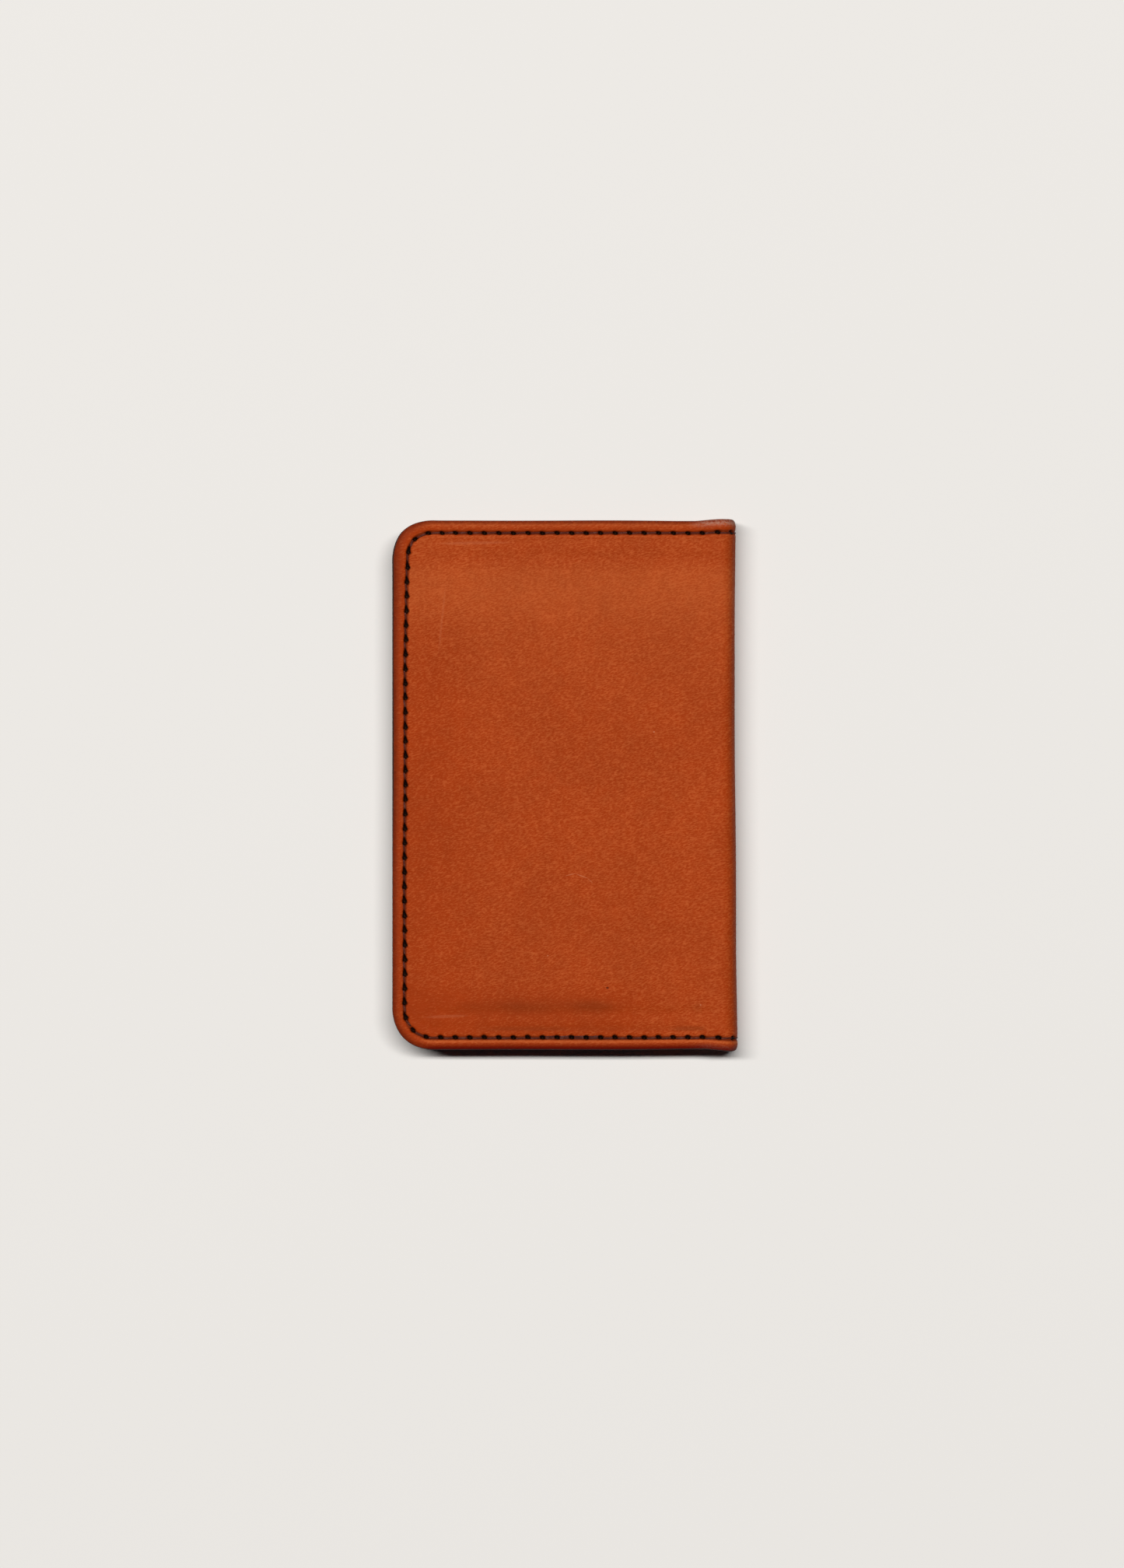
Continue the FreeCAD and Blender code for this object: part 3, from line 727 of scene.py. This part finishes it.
def pocket_under(mouth, field):
    """The side of a pocket that lies on the card."""

    def back(u, v, s, along, hole):
        lip = rounded(mouth - u, 0.25, LIP_DROP)
        edge = np.where(s <= 0.001, 0.1, 0.05 * smooth(s, 0.16, 0))
        return field(u, v, s) + np.maximum(lip, edge)

    return back


def pocket_marks(mouth):
    """Shading values of a pocket's grain side."""

    def marks(u, v, s, along, hole):
        from_mouth = mouth - u
        inside = smooth(s, 0.02, 0.3)
        return {
            "edge": np.maximum(smooth(s, 0.9, 0.05), 0.9 * smooth(from_mouth, 0.55, 0.05)),
            # near-black burnished edge and mouth, this dark partly as painted shade where the edge walls
            # lie in shadow
            "burn": 1 - inside + 0.7 * smooth(from_mouth, 0.3, 0.02) * inside,
            "raw": np.zeros_like(s),
            # painted shade in the awl holes
            "pit": np.clip(hole_shape(s, along, hole) * 1.2, 0, 1),
            # painted shade along the stitch groove
            "trench": 0.7 * bell(s, SEAM, 0.35),
            "rub": 0.55 * bell(from_mouth, CREASE, 0.26) * smooth(s, 3.6, 4.2),
            "tone": 0.3 * waves(u, v, 5, 40),
        }

    return marks


# ---------------------------------------------------------------- thread

THREAD_R = 0.2
THREAD_STEPS = 20  # rings along one stitch
THREAD_SIDES = 12
THREAD_END = 0.14  # how far from the hole's middle a stitch ends
PLY_LOBES = 3
TWIST_LENGTH = 1.5  # one full turn of the plies
PLY_MEAN, PLY_DEPTH = 0.9, 0.13  # of the thread's radius
FLATTEN = 0.85
ROW_LEAN, SIDE_LEAN = -0.05, -0.15  # half of how far a stitch's ends lie apart across the seam
ROW_SINK, SIDE_SINK = (0.6, 0.6), (0.4, 1.6)  # lengths over which a stitch's two ends go down
OUTER_DIP, INNER_DIP = 0.62, -0.45  # how far its ends go down into the leather
DOUBLE_ASIDE, DOUBLE_RAISED = 0.32, -0.08  # where a doubled stitch lies from the first
LEAN_JITTER, RAISE_JITTER, PHASE_JITTER = 0.03, 0.02, 3
LOWER_ASIDE = 0.17  # how far the lower row's stitches lie outside its holes


def seam_points():
    """The holes of one half on the plan, from the middle of the spine round to the middle again."""
    upper = [along_seam(-2 * SPINE_PITCH)[0], along_seam(-SPINE_PITCH)[0]]
    upper += [along_seam(k * PITCH)[0] for k in range(STITCHES // 2)]
    middle = along_seam(PITCH * STITCHES / 2)[0]
    return np.array([*upper, middle, *((x, -y) for x, y in reversed(upper))])


def stitch_tube(start, finish, lean, lie, dip, sinks, phase):
    """One stitch as a three-ply thread: points on the plan with a height, as a grid of rings, and how far
    down in its hole each point is, 0 to 1. lie(u) is the height of the thread's middle, dip how far its
    ends go down, sinks the lengths over which they do so, and lean moves its ends across."""
    a, b = np.array(start), np.array(finish)
    way = b - a
    length = np.linalg.norm(way)
    way = way / length
    across = np.array([-way[1], way[0]])
    t = np.linspace(0, 1, THREAD_STEPS)
    travel = t * length
    sink = dip * (1 - smooth(travel, 0.0, sinks[0])) ** 1.3
    sink += dip * (1 - smooth(length - travel, 0.0, sinks[1])) ** 1.3
    middle = a + np.outer(travel + THREAD_END * (1 - 2 * t), way)
    middle += np.outer(lean * np.cos(math.pi * t), across)
    height = lie(middle[:, 0]) + sink
    rings = []
    for i in range(THREAD_STEPS):
        turn = phase + 2 * math.pi * travel[i] / TWIST_LENGTH
        for k in range(THREAD_SIDES):
            angle = 2 * math.pi * k / THREAD_SIDES
            r = THREAD_R * (PLY_MEAN + PLY_DEPTH * math.cos(PLY_LOBES * (angle - turn)))
            offset = across * r * math.cos(angle)
            rings.append((*(middle[i] + offset), height[i] - FLATTEN * r * math.sin(angle)))
    return np.array(rings), np.repeat(np.clip(sink / dip, 0, 1), THREAD_SIDES)


def tube_faces(first):
    """Faces of one stitch whose points start at index first, with both ends closed."""
    faces = []
    for i in range(THREAD_STEPS - 1):
        for k in range(THREAD_SIDES):
            a = first + i * THREAD_SIDES + k
            b = first + i * THREAD_SIDES + (k + 1) % THREAD_SIDES
            faces.append((a, b, b + THREAD_SIDES, a + THREAD_SIDES))
    faces.append(tuple(first + k for k in range(THREAD_SIDES))[::-1])
    faces.append(tuple(first + (THREAD_STEPS - 1) * THREAD_SIDES + k for k in range(THREAD_SIDES)))
    return faces


def build_thread(name, points, lie, dip, place, material, seed, back_tack=()):
    """All the stitches of one thread along the seam, as one mesh. lie(low, u) gives the height of the
    thread's middle at u, in a stitch whose end nearer the side is at low. The stitches numbered in
    back_tack are doubled."""
    plans, depths, faces = [], [], []
    runs = [(i, 0.0, 0.0) for i in range(len(points) - 1)]
    runs += [(i, DOUBLE_ASIDE, DOUBLE_RAISED) for i in back_tack]
    for i, aside, raised in runs:
        a, b = points[i], points[i + 1]
        row = abs(b[0] - a[0]) > abs(b[1] - a[1])
        if row and a[1] < 0:
            aside -= LOWER_ASIDE
        shift = np.array([0, aside]) if row else np.array([aside, 0])
        lean = (ROW_LEAN if row else SIDE_LEAN) + LEAN_JITTER * float(hole_jitter(i, seed))
        raised += RAISE_JITTER * float(hole_jitter(i, seed + 1))
        low = min(a[0], b[0])
        rings, depth = stitch_tube(
            a + shift,
            b + shift,
            lean,
            lambda u, low=low, raised=raised: lie(low, u) + raised,
            dip,
            ROW_SINK if row else SIDE_SINK,
            float(hole_jitter(i, 7)) * PHASE_JITTER,
        )
        faces += tube_faces(len(plans) * len(rings))
        plans.append(rings)
        depths.append(depth)
    plan = np.vstack(plans)
    xyz = place(plan[:, 0], plan[:, 1], plan[:, 2]) * MM
    mesh = bpy.data.meshes.new(name)
    mesh.from_pydata(xyz.tolist(), [], faces)
    mesh.materials.append(material)
    mesh.polygons.foreach_set("use_smooth", np.ones(len(mesh.polygons), bool))
    add_plan_uv(mesh, plan[:, 0], plan[:, 1])
    # How far down in its hole each point is, kept as painted shade for the thread's material.
    add_mark(mesh, "pit", np.concatenate(depths))
    return add_object(name, mesh)


# ---------------------------------------------------------------- materials


class Nodes:
    """Short calls for the few kinds of node the materials use."""

    def __init__(self, name):
        self.material = bpy.data.materials.new(name)
        self.material.use_nodes = True
        self.tree = self.material.node_tree
        self.shader = self.tree.nodes["Principled BSDF"]

    def link(self, value, socket):
        if hasattr(value, "is_output"):
            self.tree.links.new(value, socket)
        else:
            socket.default_value = value

    def node(self, kind, settings=(), **inputs):
        """A new node with its settings and its inputs, each a value or another node's output."""
        node = self.tree.nodes.new("ShaderNode" + kind)
        for key, value in dict(settings).items():
            setattr(node, key, value)
        for key, value in inputs.items():
            self.link(value, node.inputs[key])
        return node

    def shade(self, **inputs):
        """Sets the shader's own inputs. An underscore stands for a space in a name."""
        for key, value in inputs.items():
            self.link(value, self.shader.inputs[key.replace("_", " ")])

    def math(self, operation, a, b=0.0, clamp=False):
        node = self.node("Math", {"operation": operation, "use_clamp": clamp})
        self.link(a, node.inputs[0])
        self.link(b, node.inputs[1])
        return node.outputs[0]

    def plan(self, turn=0.0, stretch=(1, 1)):
        """The plan coordinates in millimetres, turned and stretched."""
        uv = self.node("UVMap", {"uv_map": "plan"})
        plan = self.node("Mapping", Vector=uv.outputs[0], Scale=(UV_UNIT,) * 3).outputs[0]
        if not turn and stretch == (1, 1):
            return plan
        return self.about(plan, (0, 0), stretch, turn)

    def about(self, vector, centre, stretch, turn):
        """Coordinates about a centre, turned and stretched."""
        place = {"Location": (*centre, 0), "Rotation": (0, 0, math.radians(turn)), "Scale": (*stretch, 1)}
        return self.node("Mapping", {"vector_type": "TEXTURE"}, Vector=vector, **place).outputs[0]

    def noise(self, vector, scale, detail=2.0, roughness=0.5, distortion=0.0):
        look = {"Scale": scale, "Detail": detail, "Roughness": roughness, "Distortion": distortion}
        return self.node("TexNoise", Vector=vector, **look).outputs["Fac"]

    def cells(self, vector, scale, feature="F1"):
        return self.node("TexVoronoi", {"feature": feature}, Vector=vector, Scale=scale).outputs["Distance"]

    def ramp(self, value, low, high, to_low=0.0, to_high=1.0):
        ends = {"From Min": low, "From Max": high, "To Min": to_low, "To Max": to_high}
        kind = {"interpolation_type": "SMOOTHSTEP"}
        return self.node("MapRange", kind, Value=value, **ends).outputs["Result"]

    def mark(self, name):
        return self.node("Attribute", {"attribute_name": name}).outputs["Fac"]

    def mix(self, factor, a, b, blend="MIX"):
        node = self.node("Mix", {"data_type": "RGBA", "blend_type": blend})
        self.link(factor, node.inputs[0])
        self.link(a, node.inputs[6])
        self.link(b, node.inputs[7])
        return node.outputs[2]

    def bump(self, height, distance, **normal):
        return self.node("Bump", Distance=distance * MM, Height=height, **normal).outputs[0]

    def oval(self, centre, half_size, turn=0.0):
        """1 in the middle of a soft oval at a place on the plan, in millimetres, and 0 outside it."""
        far = self.node("VectorMath", {"operation": "LENGTH"})
        self.link(self.about(self.plan(), centre, half_size, turn), far.inputs[0])
        return self.ramp(far.outputs["Value"], 0.4, 1.0, 1.0, 0.0)

    def grey(self, value):
        return self.node("CombineColor", Red=value, Green=value, Blue=value).outputs[0]

    def part(self, factor, share):
        """A share of a factor."""
        return self.math("MULTIPLY", factor, share)


def colour(r, g, b):
    return (r, g, b, 1.0)


# Colours of the leather, from the field to the edge and into the holes; several of them are painted shade.
COGNAC_DARK = colour(0.332, 0.034, 0.0022)
COGNAC_LIGHT = colour(0.462, 0.083, 0.0165)
WORN_EDGE = colour(0.145, 0.014, 0.0025)
# Painted shade for the lower rim, which faces away from the light.
LOWER_RIM_PAINTED_SHADE = colour(0.125, 0.0018, 0.0005)
# Near-black burnished edge, its darkness partly painted shade of the edge walls.
BURNT_EDGE_AND_SHADE = colour(0.005, 0.0035, 0.003)
# Raw fibre, also used as a painted highlight on the upper rim's crest.
RAW_FIBRE = colour(0.42, 0.21, 0.15)
RUBBED_DYE = colour(0.185, 0.026, 0.003)
# Painted shade, less red, on the fold.
FOLD_PAINTED_SHADE = colour(0.70, 0.84, 0.85)
# Painted shade along the stitch groove.
GROOVE_PAINTED_SHADE = colour(0.105, 0.011, 0.002)
# Painted shade in the awl holes.
HOLE_PAINTED_SHADE = colour(0.006, 0.0016, 0.001)
FLECK = colour(0.62, 0.26, 0.14)
SCRATCH_LIGHT = colour(0.58, 0.20, 0.09)
SPECK_DARK = colour(0.10, 0.014, 0.004)
WARM_SHINE = colour(1.0, 0.62, 0.42)
FLESH_DARK, FLESH_LIGHT = colour(0.27, 0.105, 0.045), colour(0.46, 0.215, 0.105)
FLESH_CLOUD, FLESH_EDGE = colour(0.33, 0.12, 0.05), colour(0.09, 0.022, 0.010)
THREAD_DARK, THREAD_LIGHT = colour(0.050, 0.005, 0.002), colour(0.120, 0.021, 0.010)
# The thread's colour inside a hole, the last on this line, is painted shade.
THREAD_DYE, THREAD_PAINTED_SHADE = colour(0.17, 0.060, 0.045), colour(0.006, 0.0015, 0.001)
FLOOR_COLOUR = colour(0.803, 0.777, 0.742)
TONE_STEP = 0.34  # how far one unit of a tone mark moves the leather from dark to light
DULL = 0.12  # specular level of the leather and the thread

# Small marks of use on the front: place on the plan, half size, turn in degrees and strength.
SCRATCHES = (
    ((1.4, -17.25), (1.3, 0.13), 14, 0.40),
    ((3.6, -17.55), (1.5, 0.14), -20, 0.45),
    ((5.2, -18.45), (0.8, 0.12), -42, 0.30),
    ((-3.0, -32.9), (0.22, 0.16), 30, 0.60),
    ((-22.5, -44.6), (5.2, 0.40), 2, 0.14),
    ((-23.4, 32.0), (8.5, 0.30), 84, 0.10),
    ((-17.5, 46.7), (9.0, 0.40), 1, 0.16),
)
SPECKS = (
    ((8.5, -39.1), (0.36, 0.26), 0, 0.95),
    ((14.2, 21.5), (0.20, 0.16), 20, 0.45),
    ((-12.6, 8.3), (0.18, 0.15), 0, 0.40),
)


def leather_material(name, scratches=(), specks=()):
    """Waxed vegetable-tanned leather: fine slanting grain, cloudy dye, dark burnished edges, painted shade
    in the awl holes, the stitch groove, the fold and on the lower rim and edge walls, painted highlights
    from the tone mark, and a few rubs and flecks."""
    n = Nodes(name)
    plan = n.plan()
    slanted = n.plan(turn=16, stretch=(1.8, 0.72))
    fine = n.noise(slanted, 3.4, detail=2.0, roughness=0.6, distortion=0.25)
    pebble = n.cells(slanted, 3.0, "SMOOTH_F1")
    pore = n.noise(plan, 5.0, detail=2.0, roughness=0.6)
    grain = n.math("ADD", n.math("MULTIPLY", fine, 0.62), n.math("MULTIPLY", pebble, 0.35))
    grain = n.math("ADD", grain, n.math("MULTIPLY", pore, 0.22))
    cloud = n.noise(plan, 0.055, detail=3.0, roughness=0.55)
    mottle = n.noise(plan, 0.42, detail=3.0, roughness=0.6)
    # The tone mark holds painted highlights and painted shade as well as lighter and darker bands.
    lightness = n.math("ADD", n.ramp(grain, 0.43, 0.81), n.part(n.mark("tone"), TONE_STEP))
    tone = n.mix(lightness, COGNAC_DARK, COGNAC_LIGHT)
    cloudy = n.ramp(cloud, 0.3, 0.7, 0.95, 1.05)
    shade = n.math("MULTIPLY", cloudy, n.ramp(mottle, 0.3, 0.7, 0.97, 1.03))
    tone = n.mix(1.0, tone, n.grey(shade), "MULTIPLY")
    edge = n.mark("edge")
    uneven = n.ramp(n.noise(plan, 1.3, 3.0), 0.2, 0.8, 0.75, 1.15)
    tone = n.mix(n.part(n.math("MULTIPLY", edge, uneven, clamp=True), 0.9), tone, WORN_EDGE)
    # Painted shade on the lower rim, which faces away from the light.
    tone = n.mix(n.part(n.mark("deep"), 0.95), tone, LOWER_RIM_PAINTED_SHADE)
    # Near-black edge dye, partly painted shade of the edge walls in shadow.
    tone = n.mix(n.part(n.mark("burn"), 0.95), tone, BURNT_EDGE_AND_SHADE)
    raw = n.math("MULTIPLY", n.mark("raw"), n.ramp(n.noise(plan, 2.4, 4.0, 0.7), 0.34, 0.62))
    # Raw fibre, partly a painted highlight on the upper rim's crest.
    tone = n.mix(n.part(raw, 0.85), tone, RAW_FIBRE)
    tone = n.mix(n.part(n.mark("rub"), 0.5), tone, RUBBED_DYE)
    # Painted shade on the fold.
    tone = n.mix(n.mark("bent"), tone, FOLD_PAINTED_SHADE, "MULTIPLY")
    # Painted shade along the stitch groove.
    tone = n.mix(n.part(n.mark("trench"), 0.8), tone, GROOVE_PAINTED_SHADE)
    # Painted shade in the awl holes.
    tone = n.mix(n.mark("pit"), tone, HOLE_PAINTED_SHADE)
    fleck = n.ramp(n.cells(plan, 0.11), 0.018, 0.028, 1.0, 0.0)
    tone = n.mix(n.part(fleck, 0.5), tone, FLECK)
    for places, hue in ((scratches, SCRATCH_LIGHT), (specks, SPECK_DARK)):
        for centre, half_size, turn, strength in places:
            oval = n.oval(centre, half_size, turn)
            tone = n.mix(n.math("MULTIPLY", oval, n.part(n.mark("used"), strength)), tone, hue)
    rough = n.math("SUBTRACT", n.ramp(grain, 0.4, 0.9, 0.66, 0.5), n.part(edge, 0.12))
    soft = n.bump(n.noise(plan, 0.5, 2.0), 0.10)
    n.shade(Base_Color=tone, Roughness=rough, Normal=n.bump(grain, 0.10, Normal=soft))
    n.shade(Specular_IOR_Level=DULL, Specular_Tint=WARM_SHINE)
    return n.material


def flesh_material():
    """The unfinished inner side of the leather: pale, matt and fibrous."""
    n = Nodes("leather_flesh_side")
    plan = n.plan()
    fibre = n.noise(n.plan(turn=15, stretch=(1.2, 0.5)), 2.2, 5.0, 0.7, 0.8)
    nap = n.noise(plan, 6.0, 3.0, 0.6)
    cloud = n.noise(plan, 0.09, 3.0)
    tone = n.mix(n.ramp(fibre, 0.3, 0.72), FLESH_DARK, FLESH_LIGHT)
    tone = n.mix(n.ramp(cloud, 0.3, 0.7, 0.0, 0.4), tone, FLESH_CLOUD)
    tone = n.mix(n.part(n.mark("edge"), 0.9), tone, FLESH_EDGE)
    height = n.math("ADD", fibre, n.part(nap, 0.5))
    n.shade(Base_Color=tone, Roughness=0.95, Normal=n.bump(height, 0.12))
    n.shade(Specular_IOR_Level=DULL, Sheen_Weight=0.08, Sheen_Roughness=0.5)
    return n.material


def thread_material():
    """Waxed dark brown thread: fine fibres along it, a soft waxy shine, and painted shade where it goes
    down into a hole.
    """
    n = Nodes("waxed_thread")
    plan = n.plan()
    fibre = n.noise(plan, 9.0, 3.0, 0.6)
    dye = n.noise(plan, 0.9, 2.0)
    tone = n.mix(n.ramp(fibre, 0.3, 0.75), THREAD_DARK, THREAD_LIGHT)
    tone = n.mix(n.ramp(dye, 0.45, 0.7, 0.0, 0.5), tone, THREAD_DYE)
    # Painted shade where the thread goes down into a hole.
    tone = n.mix(n.ramp(n.mark("pit"), 0.04, 0.32), tone, THREAD_PAINTED_SHADE)
    n.shade(Base_Color=tone, Roughness=0.55, Normal=n.bump(fibre, 0.05), Specular_IOR_Level=DULL)
    return n.material


def floor_material():
    n = Nodes("pale_floor")
    n.shade(Base_Color=FLOOR_COLOUR, Roughness=1.0, Specular_IOR_Level=0.0)
    return n.material


outer_leather = leather_material("cover_leather_grain", SCRATCHES, SPECKS)
pocket_leather = leather_material("pocket_leather_grain")
flesh = flesh_material()
thread = thread_material()


# ---------------------------------------------------------------- pieces

COVER_COARSE, COVER_DENSE = 1.1, 0.42  # mesh spacing in the middle and where the shape is finer
POCKET_COARSE, POCKET_DENSE = 1.3, 0.45


def build_cover(side, strength, seed, flare):
    fine_u = [(-HALF_W, -HALF_W + 11), (FOLD_START - 3.5, COVER_END)]
    fine_v = [(-HALF_H, -HALF_H + 10), (HALF_H - 10, HALF_H)]
    us = grid_lines(-HALF_W + MARGIN, COVER_END, COVER_COARSE, fine_u, COVER_DENSE)
    vs = grid_lines(-HALF_H + MARGIN, HALF_H - MARGIN, COVER_COARSE, fine_v, COVER_DENSE)
    sheet = Sheet(COVER_END, (0.0,), RINGS_FACE, RINGS_BACK, us, vs)
    place = outline_drift(wrap(side), seed, flare)
    return build_sheet(
        f"cover_{side}_leather",
        sheet,
        cover_face(strength, seed),
        cover_back_face,
        place,
        (outer_leather, flesh),
        cover_marks(strength, float(side == "front"), seed),
    )


def build_pocket(node, side, rise, slope, level, seed):
    mouth = MOUTH[node]
    fine_u = [(-HALF_W, -HALF_W + 7), (mouth - 2.6, mouth)]
    fine_v = [(-HALF_H, -HALF_H + 7), (HALF_H - 7, HALF_H)]
    us = grid_lines(-HALF_W + MARGIN, mouth, POCKET_COARSE, fine_u, POCKET_DENSE)
    us = np.array([x for x in us if x < mouth - 0.5] + [mouth - x for x in LIP[::-1]])
    vs = grid_lines(-HALF_H + MARGIN, HALF_H - MARGIN, POCKET_COARSE, fine_v, POCKET_DENSE)
    sheet = Sheet(mouth, LIP, POCKET_RINGS, POCKET_BACK_RINGS, us, vs)
    field = pocket_field(mouth, rise, slope, seed)
    return build_sheet(
        f"{node}_leather",
        sheet,
        pocket_face(mouth, field),
        pocket_under(mouth, field),
        lay_flat(side, level),
        (pocket_leather, flesh),
        pocket_marks(mouth),
    )


def fold_blend(obj, side):
    """Bakes the piece's placement into its mesh. The ends of the fold's quarter circle for the side are
    worked out but not used.
    """
    low = (FOLD_START * MM, 0, 0)
    high = (HALF_W * MM, 0, FOLD_R * MM)
    if side == "front":
        low = (low[0], 0, TOP_Z * MM)
        high = (high[0], 0, (TOP_Z - FOLD_R) * MM)
    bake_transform(obj)


FRONT_RELIEF, BACK_RELIEF = 1.0, 0.6  # how strongly the inside presses through each half
FRONT_FLARE, BACK_FLARE = 0.42, 0.25  # how far the sheet stands out where it is bent

cover_front = build_cover("front", FRONT_RELIEF, 11, FRONT_FLARE)
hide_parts("cover_front", "cover_spine")
cover_back = build_cover("back", BACK_RELIEF, 37, BACK_FLARE)
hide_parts("cover_back")
for piece, side in ((cover_front, "front"), (cover_back, "back")):
    fold_blend(piece, side)

POCKET_SLOPE, SLOT_SLOPE = (3.6, 5.6), (2.9, 4.9)  # where a field rises, from the edge

for node, side, rise, slope, level, seed in (
    ("pocket_front", "front", CARD_GAP, POCKET_SLOPE, COVER, 51),
    ("pocket_back", "back", CARD_GAP, POCKET_SLOPE, COVER, 63),
    ("slot_back", "back", 2 * CARD_GAP, SLOT_SLOPE, COVER + PANEL, 77),
):
    piece = build_pocket(node, side, rise, slope, level, seed)
    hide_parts(node)
    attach(piece, f"{side}_half")


OUTER_LIE, INNER_LIE = 0.12, 0.1  # how far inwards from the leather's face a thread's middle lies


def outer_level(strength):
    """Height of the outer thread's middle, down in the groove."""

    def level(low, u):
        return cover_level(u, strength) + OUTER_LIE

    return level


def inner_level(mouths):
    """Height of the inner thread's middle over the panels it is sewn through."""

    def level(low, u):
        panels = sum(1 for mouth in mouths if low < mouth)
        return np.full_like(u, COVER + PANEL * panels + INNER_LIE)

    return level


BACK_TACK = (8, 9, 10, 11)  # stitches of the lower row that are sewn twice, counted from the spine

for side, strength, mouths, seed in (
    ("front", FRONT_RELIEF, (MOUTH["pocket_front"],), 3),
    ("back", BACK_RELIEF, (MOUTH["pocket_back"], MOUTH["slot_back"]), 4),
):
    seam = seam_points()
    outer = build_thread(
        f"needle_thread_{side}_stitches",
        seam,
        outer_level(strength),
        OUTER_DIP,
        wrap(side),
        thread,
        seed,
        [len(seam) - 4 - k for k in BACK_TACK] if side == "front" else (),
    )
    inner = build_thread(
        f"bobbin_thread_{side}_stitches",
        seam,
        inner_level(mouths),
        INNER_DIP,
        wrap(side),
        thread,
        seed + 9,
    )
    for piece, kind in ((outer, "needle"), (inner, "bobbin")):
        nodes = [f"{kind}_thread_{side}"]
        if side == "front":
            nodes.append(f"{kind}_thread_spine")
        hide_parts(*nodes)
        fold_blend(piece, side)


# ---------------------------------------------------------------- floor, light and camera

LENS = 180.0
SENSOR = 36.0
FRAME_TALL = 302.4 * MM  # height of the floor that the picture shows
CAMERA_X, CAMERA_Y = -0.26 * MM, 0.22 * MM
FLOOR_SIZE = 6.0
LIGHT_FAR = 5.0
LIGHT_TILT = 14.2  # degrees from straight above, towards +Y
LIGHT_LONG, LIGHT_WIDE = 6.6, 0.6
LIGHT_SIDE = -0.6  # the strip's middle, along X
LIGHT_POWER = 338.0
AMBIENT = 0.006
AMBIENT_COLOUR = colour(0.75, 0.95, 1.25)

bpy.ops.mesh.primitive_plane_add(size=FLOOR_SIZE, location=(0, 0, 0))
floor = bpy.context.object
floor.name = "floor"
floor.data.materials.append(floor_material())

light_data = bpy.data.lights.new("strip_light", "AREA")
light_data.shape = "RECTANGLE"
light_data.size = LIGHT_LONG
light_data.size_y = LIGHT_WIDE
light_data.energy = LIGHT_POWER
strip = bpy.data.objects.new("strip_light", light_data)
tilt = math.radians(LIGHT_TILT)
strip.location = (LIGHT_SIDE, LIGHT_FAR * math.sin(tilt), LIGHT_FAR * math.cos(tilt))
strip.rotation_euler = (-tilt, 0, 0)
bpy.context.scene.collection.objects.link(strip)

world = bpy.data.worlds.new("studio")
bpy.context.scene.world = world
world.use_nodes = True
background = world.node_tree.nodes["Background"]
background.inputs["Color"].default_value = AMBIENT_COLOUR
background.inputs["Strength"].default_value = AMBIENT

camera_data = bpy.data.cameras.new("camera")
camera = bpy.data.objects.new("camera", camera_data)
bpy.context.scene.collection.objects.link(camera)
camera_data.lens = LENS
camera_data.sensor_fit = "VERTICAL"
camera_data.sensor_height = SENSOR
distance = LENS / SENSOR * FRAME_TALL
camera.location = (CAMERA_X, CAMERA_Y, distance + TOP_Z * MM)
camera_data.clip_start = 0.01
camera_data.clip_end = 10.0
bpy.context.scene.camera = camera
bpy.context.scene.view_settings.view_transform = "Standard"
